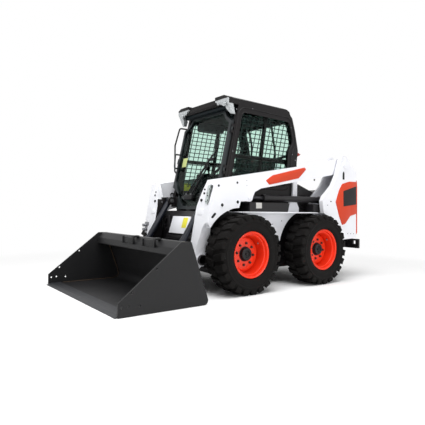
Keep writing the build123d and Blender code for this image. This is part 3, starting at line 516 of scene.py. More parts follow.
# ------------------------------------------------------------------ shapes
def pour(part: bmesh.types.BMesh, shape: bmesh.types.BMesh) -> None:
    """Add one bmesh to another, and free it.

    Args:
        part: The bmesh to add.
        shape: The bmesh that takes it.
    """
    mesh = bpy.data.meshes.new("part")
    part.to_mesh(mesh)
    part.free()
    shape.from_mesh(mesh)
    bpy.data.meshes.remove(mesh)


def soften(shape: bmesh.types.BMesh, geom: Iterable[Any], width: float, segments: int = 2,
           affect: Rounding = Rounding.EDGES) -> list[bmesh.types.BMVert]:
    """Round edges or corners.

    Args:
        shape: The bmesh that holds them.
        geom: The edges, or the vertices where corners are rounded.
        width: How far the rounding reaches.
        segments: Steps in the rounding.
        affect: Whether edges or corners are rounded.

    Returns:
        The vertices of the faces that the rounding made.
    """
    made = bmesh.ops.bevel(shape, geom=list(geom), offset=width, offset_type="OFFSET", segments=segments,
                           profile=0.5, affect=affect.value, material=-1)
    return [v for f in made["faces"] for v in f.verts]


def round_box(shape: bmesh.types.BMesh, verts: list[bmesh.types.BMVert], width: float,
              sharp_base: bool = False) -> list[bmesh.types.BMVert]:
    """Round the edges of a box.

    Args:
        shape: The bmesh that holds it.
        verts: The box's corners.
        width: Edge rounding.
        sharp_base: Whether the edges of its base, below zero, stay sharp.

    Returns:
        All the rounded box's vertices.
    """
    edges = dict.fromkeys(e for v in verts for e in v.link_edges)
    if sharp_base:
        edges = [e for e in edges if not all(v.co.z < 0 for v in e.verts)]
    made = soften(shape, edges, width)
    return list(dict.fromkeys([*made, *(v for v in verts if v.is_valid)]))


def lathe(profile: Sequence[Flat], centre: Vector, steps: int) -> bmesh.types.BMesh:
    """Turn an open profile about the axis across the machine through centre.

    Args:
        profile: (radius, across) points.
        centre: A point on the axis.
        steps: Segments round the turn.

    Returns:
        The turned shape.
    """
    shape = bmesh.new()
    verts = [shape.verts.new(centre + Vector((radius, across, 0))) for radius, across in profile]
    edges = [shape.edges.new(pair) for pair in zip(verts, verts[1:])]
    bmesh.ops.spin(shape, geom=verts + edges, cent=centre, axis=(0, 1, 0), angle=math.tau, steps=steps,
                   use_merge=True)
    bmesh.ops.remove_doubles(shape, verts=shape.verts, dist=1e-5)
    bmesh.ops.recalc_face_normals(shape, faces=shape.faces)
    return shape


def add_block(shape: bmesh.types.BMesh, centre: Point, size: Point, turn: Matrix | None = None,
              bevel: float = 0.0) -> None:
    """Add a box with rounded edges.

    Args:
        shape: The bmesh to add to.
        centre: Its middle.
        size: Its three sides.
        turn: A rotation applied about its middle.
        bevel: Edge rounding.
    """
    verts = bmesh.ops.create_cube(shape, size=1.0)["verts"]
    bmesh.ops.scale(shape, vec=size, verts=verts)
    if bevel:
        verts = round_box(shape, verts, bevel)
    matrix = Matrix.Translation(centre) @ (turn.to_4x4() if turn else Matrix())
    bmesh.ops.transform(shape, matrix=matrix, verts=verts)


def add_rod(shape: bmesh.types.BMesh, start: Point, end: Point, radius: float, segments: int = 20,
            tip: float | None = None) -> None:
    """Add a capped round bar between two points.

    Args:
        shape: The bmesh to add to.
        start: Middle of one end.
        end: Middle of the other end.
        radius: Its radius at the start.
        segments: Sides round it.
        tip: Its radius at the end, if it tapers.
    """
    run = Vector(end) - Vector(start)
    turn = run.to_track_quat("Z", "Y").to_matrix().to_4x4()
    matrix = Matrix.Translation((Vector(start) + Vector(end)) / 2) @ turn
    bmesh.ops.create_cone(shape, cap_ends=True, segments=segments, radius1=radius,
                          radius2=radius if tip is None else tip, depth=run.length, matrix=matrix)


def add_plate(shape: bmesh.types.BMesh, outline: Sequence[Flat], low: float, high: float,
              corner: float = 0.0, edge: float = 0.0, facing: Facing = Facing.SIDEWAYS) -> None:
    """Add a flat plate with the given outline.

    Args:
        shape: The bmesh to add to.
        outline: (x, z) points for a plate that faces sideways, or (y, z) for one that faces ahead.
        low: Where its thickness starts.
        high: Where its thickness ends, its outer face.
        corner: Rounding of the outline's corners.
        edge: Rounding of the outer face's edges.
        facing: Which way the plate faces.
    """
    part = bmesh.new()
    axis = facing.value
    for a, b in outline:
        part.verts.new((low, a, b) if facing is Facing.AHEAD else (a, low, b))
    part.faces.new(part.verts)
    if corner:
        soften(part, part.verts, corner, 4, Rounding.CORNERS)
    made = bmesh.ops.extrude_face_region(part, geom=list(part.faces))["geom"]
    moved = [g for g in made if isinstance(g, bmesh.types.BMVert)]
    bmesh.ops.translate(part, vec=[high - low if i == axis else 0.0 for i in range(3)], verts=moved)
    bmesh.ops.recalc_face_normals(part, faces=part.faces)
    if edge:
        rim = [e for e in part.edges if all(abs(v.co[axis] - high) < 1e-6 for v in e.verts)]
        soften(part, rim, edge)
    pour(part, shape)


def tube(points: Sequence[Point], radius: float, smooth: bool = True, closed: bool = False) -> bpy.types.Mesh:
    """A round tube along a smooth line.

    Args:
        points: The line's control points.
        radius: The tube's radius.
        smooth: Whether the line is a smooth curve or straight runs.
        closed: Whether it joins its own start.

    Returns:
        The tube's mesh.
    """
    line = bpy.data.curves.new("line", "CURVE")
    line.dimensions = "3D"
    spline = line.splines.new("NURBS" if smooth else "POLY")
    spline.points.add(len(points) - 1)
    for control, place in zip(spline.points, points):
        control.co = (*place, 1)
    if smooth:
        spline.order_u = 3
        spline.use_endpoint_u = not closed
    spline.use_cyclic_u = closed
    line.bevel_depth = radius
    line.bevel_resolution = 4
    line.use_fill_caps = True
    carrier = bpy.data.objects.new("line", line)
    mesh = bpy.data.meshes.new_from_object(carrier)
    bpy.data.objects.remove(carrier)
    bpy.data.curves.remove(line)
    return mesh


# ------------------------------------------------------------------ wheels
@dataclass
class Wheel:
    """A tyre with chunky slanted lugs on a dished steel rim.

    Attributes:
        shop: Makes the pieces.
        end: Which end of the machine.
        side: Which side of the machine.
        lugs: Lugs on each side of the tread.
        lug_height: How far a lug stands above the carcass.
        lug_slant: Degrees that a lug is turned from straight across.
        lug_width: A lug's width round the tread.
        buttress: Width, thickness and height of the block that carries a lug down the sidewall.
        margin: How far the lugs stay inside the tyre's own size.
        nut_circle: Radius of the circle of wheel nuts.
        nuts: How many wheel nuts.
        turns: Segments round the tyre and the rim.
        centre: Middle of the tyre.
        radius: The tyre's radius over its lugs.
        half: Half the tyre's width.
        rim_radius: Radius of the rim's flanges.
    """
    shop: Workshop
    end: End
    side: Side
    lugs: int = 23
    lug_height: float = 0.018
    lug_slant: float = 13.0
    lug_width: float = 0.072
    buttress: Point = (0.068, 0.018, 0.050)
    margin: float = 0.0006
    nut_circle: float = 0.107
    nuts: int = 8
    turns: int = 112
    centre: Vector = field(init=False)
    radius: float = field(init=False)
    half: float = field(init=False)
    rim_radius: float = field(init=False)

    def __post_init__(self) -> None:
        """Read the wheel's place and size from its CAD nodes."""
        low, high = (Vector(c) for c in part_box(self.tyre_node))
        self.centre = (low + high) / 2
        self.radius = (high.z - low.z) / 2
        self.half = (high.y - low.y) / 2
        low, high = (Vector(c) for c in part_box(self.rim_node))
        self.rim_radius = (high.z - low.z) / 2

    @property
    def name(self) -> str:
        """The wheel's place in words."""
        return f"{self.end.value}_{self.side.word}"

    @property
    def tyre_node(self) -> str:
        """Name of the CAD tyre."""
        return f"tyre_{self.name}"

    @property
    def rim_node(self) -> str:
        """Name of the CAD rim."""
        return f"rim_{self.name}"

    def build(self) -> None:
        """Make the tyre, the rim, the hub, the nuts and the valve."""
        body = f"wheel_{self.name}"
        tyre = self.shop.from_bmesh(f"{self.tyre_node}_tread", self.carcass(), RUBBER, body, "tyre_rubber", 40)
        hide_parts(self.tyre_node)
        rim = self.shop.from_bmesh(f"{self.rim_node}_dish", self.dish(), RED, body, "rim_paint", 40)
        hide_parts(self.rim_node)
        self.shop.from_bmesh(f"hub_{self.name}", self.hub(), BLACK, body, "black_paint", 40)
        self.shop.from_bmesh(f"nuts_{self.name}", self.fasteners(), NUT, body, "bare_steel", 40)
        self.shop.from_bmesh(f"valve_{self.name}", self.valve(), STEEL, body, "bare_steel", 40)

    def carcass(self) -> bmesh.types.BMesh:
        """The tyre with its sidewall ribs and lugs.

        Returns:
            The tyre in place.
        """
        tread, half = self.radius - self.lug_height, self.half
        bead = self.rim_radius + 0.002
        inner = self.rim_radius - 0.016
        wall = [(inner, 0.0), (inner, half - 0.022), (bead, half - 0.022), (bead + 0.006, half - 0.012),
                (bead + 0.014, half - 0.010), (bead + 0.020, half - 0.004), (bead + 0.040, half - 0.0005),
                (tread - 0.062, half - 0.003), (tread - 0.058, half), (tread - 0.044, half),
                (tread - 0.040, half - 0.004), (tread - 0.026, half - 0.008), (tread - 0.010, half - 0.020),
                (tread, half - 0.040), (tread + 0.002, 0.0)]
        outline = [(r, -y) for r, y in wall] + wall[-2::-1]
        shape = lathe(outline, self.centre, self.turns)
        for row in (1, -1):
            for index in range(self.lugs):
                angle = (index + (0.0 if row > 0 else 0.5)) * math.tau / self.lugs
                self.add_lug(shape, angle, row)
        return shape

    def add_lug(self, shape: bmesh.types.BMesh, angle: float, row: int) -> None:
        """Add one lug and the buttress that runs from it down the sidewall.

        Args:
            shape: The tyre.
            angle: Where it stands round the axle.
            row: 1 for the left half of the tread, -1 for the right.
        """
        roll = Matrix.Translation(self.centre) @ Matrix.Rotation(angle, 4, "Y")
        lean = math.radians(self.lug_slant * row)
        base = self.radius - self.lug_height - 0.012
        top = self.radius - self.margin
        length = self.half - 0.008
        bar = bmesh.ops.create_cube(shape, size=1.0)["verts"]
        bmesh.ops.scale(shape, vec=(self.lug_width, length, top - base), verts=bar)
        for vert in bar:
            if vert.co.z > 0:
                vert.co.x *= 0.84
                vert.co.y *= 0.97
        bar = round_box(shape, bar, 0.005, sharp_base=True)
        lift = Matrix.Translation((0, row * (length / 2 + 0.004), (base + top) / 2))
        bmesh.ops.transform(shape, matrix=roll @ Matrix.Rotation(lean, 4, "Z") @ lift, verts=bar)
        self.keep_inside(bar)
        block = bmesh.ops.create_cube(shape, size=1.0)["verts"]
        bmesh.ops.scale(shape, vec=self.buttress, verts=block)
        for vert in block:
            if vert.co.z < 0:
                vert.co.x *= 0.76
            if vert.co.y * row > 0 and vert.co.z > 0:
                vert.co.y -= row * 0.006
        block = round_box(shape, block, 0.003)
        shift = Matrix.Translation((-row * math.tan(lean) * self.half, row * (self.half - 0.011),
                                    self.radius - 0.032))
        bmesh.ops.transform(shape, matrix=roll @ shift, verts=block)
        self.keep_inside(block)

    def keep_inside(self, verts: Sequence[bmesh.types.BMVert]) -> None:
        """Draw points back to the tyre's own width and radius.

        Args:
            verts: Points of a lug.
        """
        wide, tall = self.half - 0.0008, self.radius - 0.0005
        for vert in verts:
            away = vert.co - self.centre
            if abs(away.y) > wide:
                vert.co.y = self.centre.y + math.copysign(wide, away.y)
            reach = math.hypot(away.x, away.z)
            if reach > tall:
                vert.co.x = self.centre.x + away.x * tall / reach
                vert.co.z = self.centre.z + away.z * tall / reach

    def dish(self) -> bmesh.types.BMesh:
        """The rim's barrel, flanges and dished disc.

        Returns:
            The rim in place.
        """
        out = self.side.value
        flange, barrel, edge = self.rim_radius, self.rim_radius - 0.017, self.half - 0.022
        outline = [(0.072, 0.010), (0.150, 0.010), (0.158, 0.007), (0.164, 0.000), (0.168, -0.024),
                   (0.174, -0.032), (0.182, -0.032), (0.187, -0.024), (0.189, 0.020), (0.186, 0.072),
                   (0.186, 0.080), (0.190, 0.087), (0.196, 0.088), (0.199, 0.083), (0.205, 0.083),
                   (0.208, 0.096), (0.212, 0.104), (flange - 0.006, edge + 0.004), (flange - 0.002, edge + 0.008),
                   (flange, edge + 0.006), (flange, edge + 0.001), (barrel, edge + 0.001), (barrel, -edge - 0.001),
                   (flange, -edge - 0.001), (flange, -edge - 0.009), (barrel - 0.009, -edge - 0.009),
                   (barrel - 0.009, -0.044), (0.160, -0.044), (0.155, -0.004), (0.080, -0.004), (0.080, -0.058),
                   (0.072, -0.058), (0.072, 0.010)]
        return lathe([(r, y * out) for r, y in outline], self.centre, self.turns)

    def hub(self) -> bmesh.types.BMesh:
        """Hub cap and the recessed boss round it.

        Returns:
            The hub in place.
        """
        out = self.side.value
        outline = [(0.0001, 0.046), (0.009, 0.046), (0.012, 0.042), (0.014, 0.034), (0.030, 0.033), (0.034, 0.036),
                   (0.038, 0.046), (0.054, 0.047), (0.060, 0.044), (0.065, 0.036), (0.065, 0.014), (0.073, 0.011),
                   (0.073, -0.040), (0.0001, -0.040)]
        return lathe([(r, y * out) for r, y in outline], self.centre, 64)

    def fasteners(self) -> bmesh.types.BMesh:
        """The wheel nuts on their studs.

        Returns:
            The nuts in place.
        """
        shape = bmesh.new()
        out = Vector(self.side.out)
        for index in range(self.nuts):
            foot = self.spoke(index * 360 / self.nuts + 8, self.nut_circle, 0.009)
            add_rod(shape, foot, foot + out * 0.003, 0.0135, 20)
            add_rod(shape, foot, foot + out * 0.014, 0.0115, 6)
            add_rod(shape, foot, foot + out * 0.021, 0.006, 12)
        return shape

    def valve(self) -> bmesh.types.BMesh:
        """The tyre's valve stem, which leans out of the barrel.

        Returns:
            The stem in place.
        """
        shape = bmesh.new()
        add_rod(shape, self.spoke(144, 0.188, 0.030), self.spoke(144, 0.170, 0.048), 0.0045, 12)
        add_rod(shape, self.spoke(144, 0.176, 0.042), self.spoke(144, 0.168, 0.050), 0.0060, 12)
        return shape

    def spoke(self, degrees: float, reach: float, across: float) -> Vector:
        """A place on the wheel.

        Args:
            degrees: Its angle, 0 ahead of the axle and 90 above it.
            reach: How far it is from the axle's line.
            across: How far out it is from the tyre's middle.

        Returns:
            The place.
        """
        angle = math.radians(degrees)
        return self.centre + Vector((math.cos(angle) * reach, self.side.value * across, math.sin(angle) * reach))


# ------------------------------------------------------------------ carried-over CAD nodes
@dataclass
class Bodywork:
    """The CAD nodes that keep their shape and get softened edges and a finish.

    Attributes:
        shop: Makes the pieces.
        bevels: Edge rounding of each node, in metres.
    """
    shop: Workshop
    bevels: dict[str, float] = field(default_factory=lambda: {
        "main_frame": 0.006, "fenders": 0.004, "side_boxes": 0.006, "axle_housings": 0.004, "engine_block": 0.01,
        "rear_hood": 0.004, "engine_screens": 0.002, "rear_bumper": 0.005, "tail_lamps": 0.004,
        "tower_left": 0.005, "tower_right": 0.005, "cab_side_left": 0.006, "cab_side_right": 0.006,
        "cab_back": 0.006, "cab_lamps": 0.003, "cab_roof": 0.014, "cab_floor": 0.005, "seat_bar": 0.0,
        "grab_loop": 0.0, "door_frame": 0.004, "tailgate": 0.004,
        "lift_arm_left": 0.005, "lift_arm_right": 0.005, "cross_tube": 0.002, "hose_couplers": 0.003,
        "coupler": 0.003, "bucket_shell": 0.003, "bucket_sides": 0.003, "cutting_edge": 0.002,
        "lift_barrels": 0.002, "lift_rods": 0.001, "tilt_barrels": 0.002, "tilt_rods": 0.001,
        "levers": 0.004})

    def build(self) -> None:
        """Refine each listed node."""
        for node, bevel in self.bevels.items():
            self.shop.refine(node, bevel)

    def glaze(self) -> None:
        """Give the glass nodes their panes' material."""
        facts = self.shop.node_facts()
        for node in ("cab_windows", "door_glass"):
            holder = self.shop.frame["nodes"][node]
            holder.data.materials.clear()
            holder.data.materials.append(SLOT_FINISH[facts[node][1]].material())


# ------------------------------------------------------------------ trim
@dataclass
class Trim:
    """Pieces dressed onto the machine in millimetres from the front axle.

    Attributes:
        shop: Makes the pieces.
        datum: Where the front axle is.
    """
    shop: Workshop
    datum: Datum

    def stud(self, shape: bmesh.types.BMesh, place: Point, out: Point, height: float, radius: float,
             segments: int = 16, tip: float | None = None, sunk: float = 0.0) -> None:
        """Add a round or many-sided stud that stands on a surface.

        Args:
            shape: The bmesh to add to.
            place: Middle of its foot, in millimetres.
            out: Direction that it stands out in.
            height: How far it stands out, in millimetres.
            radius: Its radius, in millimetres.
            segments: Sides round it.
            tip: Its radius at the far end, if it tapers, in millimetres.
            sunk: How far it reaches into the surface, in millimetres.
        """
        foot, lift = Vector(self.datum.at(*place)), Vector(out) / 1000
        end = radius if tip is None else tip
        add_rod(shape, foot - lift * sunk, foot + lift * height, radius / 1000, segments, end / 1000)

    def screw(self, shape: bmesh.types.BMesh, place: Point, out: Point, radius: float, height: float) -> None:
        """Add a domed screw head.

        Args:
            shape: The bmesh to add to.
            place: Middle of its seat, in millimetres.
            out: Direction that it stands out in.
            radius: Its radius, in millimetres.
            height: How far it stands out, in millimetres.
        """
        self.stud(shape, place, out, height, radius, tip=radius * 0.72, sunk=2)

    def bolt(self, shape: bmesh.types.BMesh, place: Point, out: Point, radius: float) -> None:
        """Add a hexagon bolt head on its washer.

        Args:
            shape: The bmesh to add to.
            place: Middle of its seat, in millimetres.
            out: Direction that it stands out in.
            radius: Radius over its corners, in millimetres.
        """
        self.stud(shape, place, out, 1.5, radius * 1.45, 20, sunk=1)
        self.stud(shape, place, out, 1.5 + radius * 0.65, radius, 6)


@dataclass
class CabTrim(Trim):
    """Screens, window bars and seals, screws, wiper, lamps, lining, plates and seat of the cab.

    Attributes:
        window: The side window's outline.
        cushion: The seat cushion's outline from the side.
        backrest: The backrest's outline from the side.
        rear_lamp: The small lamp's outline at each back corner.
        wall: How far out the cab's side walls stand.
        slope: How far the pillars lean back for each millimetre up.
        wire: Radius of the screen's wires.
        pitch: Spacing of the screen's wires along and up.
        bar: Width and thickness of the window's bars.
    """
    window: tuple[Flat, ...] = ((15, 1090), (-135, 1838), (-855, 1828), (-920, 1600), (-842, 1490), (-825, 1090))
    cushion: tuple[Flat, ...] = ((-335, 1060), (-330, 1095), (-350, 1128), (-400, 1134), (-745, 1102), (-752, 1030),
                                 (-380, 1050))
    backrest: tuple[Flat, ...] = ((-700, 1112), (-758, 1106), (-838, 1340), (-846, 1404), (-830, 1424), (-798, 1420),
                                  (-778, 1390), (-770, 1330))
    rear_lamp: tuple[Flat, ...] = ((-985, 1440), (-1046, 1452), (-1096, 1478), (-1046, 1500), (-990, 1500))
    wall: float = 450
    slope: float = 0.231
    wire: float = 4.6
    pitch: Flat = (67.0, 47.5)
    bar: Flat = (36.0, 32.0)

    def build(self) -> None:
        """Make everything on the cab and its door."""
        self.screens()
        self.bars()
        self.seals()
        self.screws()
        self.lamps()
        self.lining()
        self.wiper()
        self.door_trim()
        self.seat()

    def seat(self) -> None:
        """Seat with a cushion and a backrest, each in three padded strips, on its base."""
        pads, base = bmesh.new(), bmesh.new()
        for outline, half in ((self.cushion, 0.236), (self.backrest, 0.226)):
            for low, high in ((-half, -half * 0.44), (-half * 0.43, half * 0.43), (half * 0.44, half)):
                pad = bmesh.new()
                add_plate(pad, self.datum.side(outline), low, high)
                soften(pad, pad.edges, 0.008, 3)
                pour(pad, pads)
        add_block(base, self.datum.at(-570, 0, 942), (0.376, 0.516, 0.156), bevel=0.012)
        seat = self.shop.from_bmesh("seat_pads", pads, VINYL, "cab", "seat_vinyl", 50)
        self.shop.from_bmesh("seat_base", base, PLASTIC, "cab", "black_plastic")
        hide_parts("seat")

    def pillar(self, z: float) -> float:
        """How far forward the front pillars stand at height z."""
        return 155 - self.slope * (z - 845)

    def screens(self) -> None:
        """The wire screens inside both side windows."""
        shape = bmesh.new()
        outline = grown(self.window, 12)
        lines = [((x, 1090.0), (-self.slope, 1.0)) for x in self.steps(20, -1000, -self.pitch[0])]
        lines += [((0.0, z), (1.0, 0.0)) for z in self.steps(1110, 1836, self.pitch[1])]
        for side in Side:
            for start, step in lines:
                ends = crossings(outline, start, step)
                if ends:
                    y = side.value * (self.wall - 46 - (self.wire if step[0] < 0 else -self.wire))
                    low, high = (self.datum.at(x, y, z) for x, z in ends)
                    add_rod(shape, low, high, self.wire / 1000, 8)
        self.shop.from_bmesh("side_window_screens", shape, WIRE, "cab", "black_paint")

    @staticmethod
    def steps(start: float, end: float, pitch: float) -> list[float]:
        """Evenly spaced values from start that stay short of end."""
        return [start + i * pitch for i in range(int(abs((end - start) / pitch)) + 1)]

    def bars(self) -> None:
        """The level bar and the leaning bar across each side window."""
        shape = bmesh.new()
        half = self.bar[0] / 2
        level = [(-50, 1376 - half), (-52, 1376 + half), (-860, 1370 + half), (-850, 1370 - half)]
        lean = [(-512 - half, 1832), (-512 + half, 1832), (-398 + half, 1095), (-398 - half, 1095)]
        for side in Side:
            near, far = (side.value * (self.wall - depth) / 1000 for depth in (22, 22 + self.bar[1]))
            for outline in (level, lean):
                add_plate(shape, self.datum.side(outline), far, near, edge=0.003)
        self.shop.from_bmesh("side_window_bars", shape, CAB_BLACK, "cab", "black_paint")

    def seals(self) -> None:
        """Rubber seals in the side windows and the raised line pressed round them."""
        for side in Side:
            for name, by, depth, radius in (("seal", -2.0, 1.0, 7.0), ("pressing", 44.0, 0.0, 6.0)):
                points = self.rounded(grown(self.window, by), 60 + by)
                path = [self.datum.at(x, side.value * (self.wall - depth), z) for x, z in points]
                mesh = tube(path, radius / 1000, smooth=False, closed=True)
                label = f"{name}_{side.word}"
                self.shop.finish_piece(label, mesh, CAB_BLACK, "cab", "black_paint", 60)

    @staticmethod
    def rounded(outline: Sequence[Flat], radius: float, steps: int = 6) -> list[Flat]:
        """An outline with its corners turned into short curves.

        Args:
            outline: Corners in order.
            radius: Distance from each corner at which its curve starts.
            steps: Pieces in each curve.

        Returns:
            The points of the softened outline.
        """
        made = []
        for before, here, after in corners(outline):
            start, end = (here + run.normalized() * min(radius, run.length / 2)
                          for run in (before - here, after - here))
            for i in range(steps + 1):
                t = i / steps
                made.append(tuple(start * (1 - t) ** 2 + here * (2 * t * (1 - t)) + end * t ** 2))
        return made

    def screws(self) -> None:
        """Screw heads round the side windows."""
        shape = bmesh.new()
        for side in Side:
            for x, z in ((-59, 1850), (-281, 1885), (-744, 1873), (-14, 1416), (52, 1100), (-907, 1460), (-958, 1398),
                         (-880, 1763), (-905, 1110)):
                self.screw(shape, (x, side.value * self.wall, z), side.out, 7, 4)
        self.shop.from_bmesh("cab_screws", shape, STEEL, "cab", "bare_steel", 50)

    def lamps(self) -> None:
        """Bowls of the front work lamps and the small lamp on the back corner."""
        bowls, rear = bmesh.new(), bmesh.new()
        for side in Side:
            for y, z, radius in ((300, 1915, 20), (395, 1895, 26)):
                self.stud(bowls, (60, side.value * y, z), FORWARD, 6, radius, 24, radius * 0.9)
                self.stud(bowls, (60, side.value * y, z), FORWARD, 10, radius * 0.45)
            add_plate(rear, self.datum.side(self.rear_lamp), side.value * 0.380, side.value * 0.414, 0.008, 0.003)
        self.shop.from_bmesh("lamp_bowls", bowls, LAMP_SILVER, "cab", "clear_lens", 40)
        self.shop.from_bmesh("cab_rear_lamps", rear, RED_LENS, "cab", "red_lens", 40)

    def lining(self) -> None:
        """Roof lining, side consoles and the hoses behind the seat."""
        shape = bmesh.new()
        add_block(shape, self.datum.at(-420, 0, 1880), (0.86, 0.80, 0.036), bevel=0.01)
        for side in Side:
            add_block(shape, self.datum.at(-470, side.value * 350, 1120), (0.62, 0.10, 0.24), bevel=0.02)
            add_block(shape, self.datum.at(-300, side.value * 300, 1790), (0.30, 0.16, 0.10), bevel=0.02)
        self.shop.from_bmesh("cab_lining", shape, TEAL, "cab", "black_plastic")
        for index, y in enumerate((-250, 210)):
            points = [self.datum.at(*p) for p in ((-780, y, 1080), (-860, y, 1300), (-900, y * 0.9, 1500),
                                                  (-870, y * 0.8, 1700), (-820, y * 0.9, 1860))]
            self.shop.finish_piece(f"cab_hose_{index}", tube(points, 0.012), PLASTIC, "cab", "black_plastic")

    def wiper(self) -> None:
        """Twin wiper arms, their motor box and the blade."""
        shape = bmesh.new()
        for start, end, radius in (((176, -92, 981), (86, 247, 1387), 8), ((176, -5, 979), (110, 218, 1285), 8),
                                   ((150, 60, 1130), (72, 300, 1440), 6)):
            add_rod(shape, self.datum.at(*start), self.datum.at(*end), radius / 1000, 12)
        add_block(shape, self.datum.at(92, 230, 1340), (0.018, 0.10, 0.03), bevel=0.004)
        lean = Matrix.Rotation(-math.atan(self.slope), 3, "Y")
        add_block(shape, self.datum.at(self.pillar(945) + 46, -50, 945), (0.04, 0.15, 0.06), lean, 0.012)
        self.shop.from_bmesh("wiper", shape, PLASTIC, "cab_door", "black_plastic")
        caps = bmesh.new()
        for y in (-92, -5):
            self.screw(caps, (182, y, 982), FORWARD, 8, 8)
        self.shop.from_bmesh("wiper_nuts", caps, STEEL, "cab_door", "bare_steel", 50)

    def door_trim(self) -> None:
        """Blank plate on the door's glass and one on the right-hand wall."""
        shape = bmesh.new()
        z = 1350
        lean = Matrix.Rotation(-math.atan(self.slope), 3, "Y")
        add_block(shape, self.datum.at(self.pillar(z) + 34, -296, z), (0.002, 0.085, 0.105), lean, 0.0005)
        self.shop.from_bmesh("door_plate", shape, LIME, "cab_door", "cab_glass")
        inner = bmesh.new()
        add_plate(inner, self.datum.side([(2, 1120), (-88, 1120), (-80, 1035), (6, 1035)]), -0.409, -0.407)
        self.shop.from_bmesh("cab_wall_plate", inner, YELLOW, "cab", "black_plastic")


@dataclass
class ArmTrim(Trim):
    """Badges, bolts, caps, the legs' panels, guards and hoses of the lift arms.

    Attributes:
        badge: Outline of the blank badge on each arm.
        badge_middle: What its raised face shrinks about.
        slot: Outline of the thin black plate near each knee, painted shade standing for the dark inside of a slot.
        fittings: (y, z) outline of the fittings panel on the left leg.
        leg_plate: (y, z) outline of the blank plate on each leg.
        guard: Outline of the guard beside each tilt cylinder's upper pin.
        outer: How far out the arms' outer skins stand.
        leg_slope: How far the leg's front leans forward for each millimetre down.
    """
    badge: tuple[Flat, ...] = ((-342, 1126), (-442, 1186), (-946, 1303), (-970, 1282), (-848, 1176), (-393, 1084))
    badge_middle: Flat = (-650, 1193)
    slot: tuple[Flat, ...] = ((301, 778), (322, 790), (368, 744), (347, 730))
    fittings: tuple[Flat, ...] = ((497, 1058), (560, 1066), (584, 1058), (584, 880), (572, 858), (520, 858),
                                  (497, 885))
    leg_plate: tuple[Flat, ...] = ((425, 828), (505, 824), (496, 764), (418, 766))
    guard: tuple[Flat, ...] = ((205, 870), (192, 905), (205, 940), (240, 962), (285, 950), (312, 900), (336, 810),
                               (350, 700), (330, 700), (300, 800), (262, 872))
    outer: float = 600
    leg_slope: float = 0.222

    def build(self) -> None:
        """Make the pieces of both arms."""
        self.badges()
        self.bolts()
        self.panels()
        self.guards()
        self.hoses()

    def leg_front(self, z: float) -> float:
        """How far forward the leg's front face stands at height z."""
        return 360 - self.leg_slope * (z - 925)

    def badges(self) -> None:
        """A blank raised badge on each arm's outer face."""
        shape = bmesh.new()
        middle_x, middle_z = self.badge_middle
        inner = [(middle_x + (x - middle_x) * 0.93, middle_z + (z - middle_z) * 0.93) for x, z in self.badge]
        for side in Side:
            face = side.value * self.outer / 1000
            add_plate(shape, self.datum.side(self.badge), face, face + side.value * 0.005, 0.010, 0.002)
            add_plate(shape, self.datum.side(inner), face, face + side.value * 0.0075, 0.008, 0.001)
        self.shop.from_bmesh("arm_badges", shape, BADGE, "lift_arms", "rim_paint")

    def bolts(self) -> None:
        """Bolt heads, black discs and a black plate painted as the shade inside the arm's holes and slot, and the
        caps of the cylinder pins.
        """
        bolts, hole_and_slot_shade, caps = bmesh.new(), bmesh.new(), bmesh.new()
        for side in Side:
            face = side.value * self.outer
            for x, z in ((278, 1045), (46, 1084), (-1119, 1173)):
                self.bolt(bolts, (x, face, z), side.out, 8)
            for x, z in ((-78, 1112), (-80, 1062)):
                self.screw(bolts, (x, face, z), side.out, 4, 2)
            low = face / 1000
            # thin black plate in the slot's outline: painted shade of the slot's dark inside
            add_plate(hole_and_slot_shade, self.datum.side(self.slot), low, low + side.value * 0.0012, 0.011)
            self.stud(caps, (-120, face, 945), side.out, 7, 26, 32, 24)
            self.stud(caps, (-120, face, 945), side.out, 12, 9, 6)
            for x, z in ((41, 894), (236, 861)):
                self.stud(caps, (x, face, z), side.out, 4, 27, 32, 25, sunk=10)
                # black disc over each hole: painted shade of the hole's dark inside
                self.stud(hole_and_slot_shade, (x, face, z), side.out, 5.2, 16, 24)
            self.stud(caps, (550, side.value * 485, 185), side.out, 10, 30, 32, 27)
        self.shop.from_bmesh("arm_bolts", bolts, IRON, "lift_arms", "bare_steel", 40)
        # the black discs and slot plate are painted shade of the holes and the slot
        self.shop.from_bmesh("arm_slots", hole_and_slot_shade, PLASTIC, "lift_arms", "black_plastic")
        self.shop.from_bmesh("arm_pin_caps", caps, WHITE, "lift_arms", "white_paint", 40)

    def panels(self) -> None:
        """The fittings panel let into the front of the left leg, and each leg's ports and blank plate."""
        panel, fittings, dark = bmesh.new(), bmesh.new(), bmesh.new()
        self.on_leg(panel, self.fittings, Side.LEFT, 4)
        self.on_leg(fittings, grown(self.fittings, -12), Side.LEFT, 5.5)
        for y, z, radius in ((560, 1010, 9), (546, 948, 12), (560, 905, 10), (530, 975, 7), (535, 892, 8)):
            self.stud(dark, (self.leg_front(z) + 5, y, z), FORWARD, 12, radius * 0.6)
            self.stud(fittings, (self.leg_front(z) + 5, y, z), FORWARD, 9, radius)
        for side in Side:
            for y, z, radius in ((470, 1010, 8), (474, 972, 10), (448, 905, 14)):
                self.stud(dark, (self.leg_front(z), side.value * y, z), FORWARD, 10, radius)
            self.on_leg(panel, self.leg_plate, side, 2)
        self.shop.from_bmesh("leg_panels", panel, WHITE, "lift_arms", "white_paint")
        self.shop.from_bmesh("leg_fittings", fittings, FITTING, "lift_arms", "bare_steel")
        self.shop.from_bmesh("leg_ports", dark, PLASTIC, "lift_arms", "black_plastic")

    def on_leg(self, shape: bmesh.types.BMesh, outline: Sequence[Flat], side: Side, proud: float) -> None:
        """Add a plate that lies on the leg's leaning front.

        Args:
            shape: The bmesh to add to.
            outline: (y, z) points for the left-hand leg.
            side: Which leg.
            proud: How far it stands out, in millimetres.
        """
        part = bmesh.new()
        points = [(side.value * y, z) for y, z in outline]
        add_plate(part, self.datum.front(points), 0.0, proud / 1000 + 0.004, 0.010, 0.001, Facing.AHEAD)
        for vert in part.verts:
            vert.co.x += self.datum.at(self.leg_front(vert.co.z * 1000), 0, 0)[0] - 0.004
        pour(part, shape)

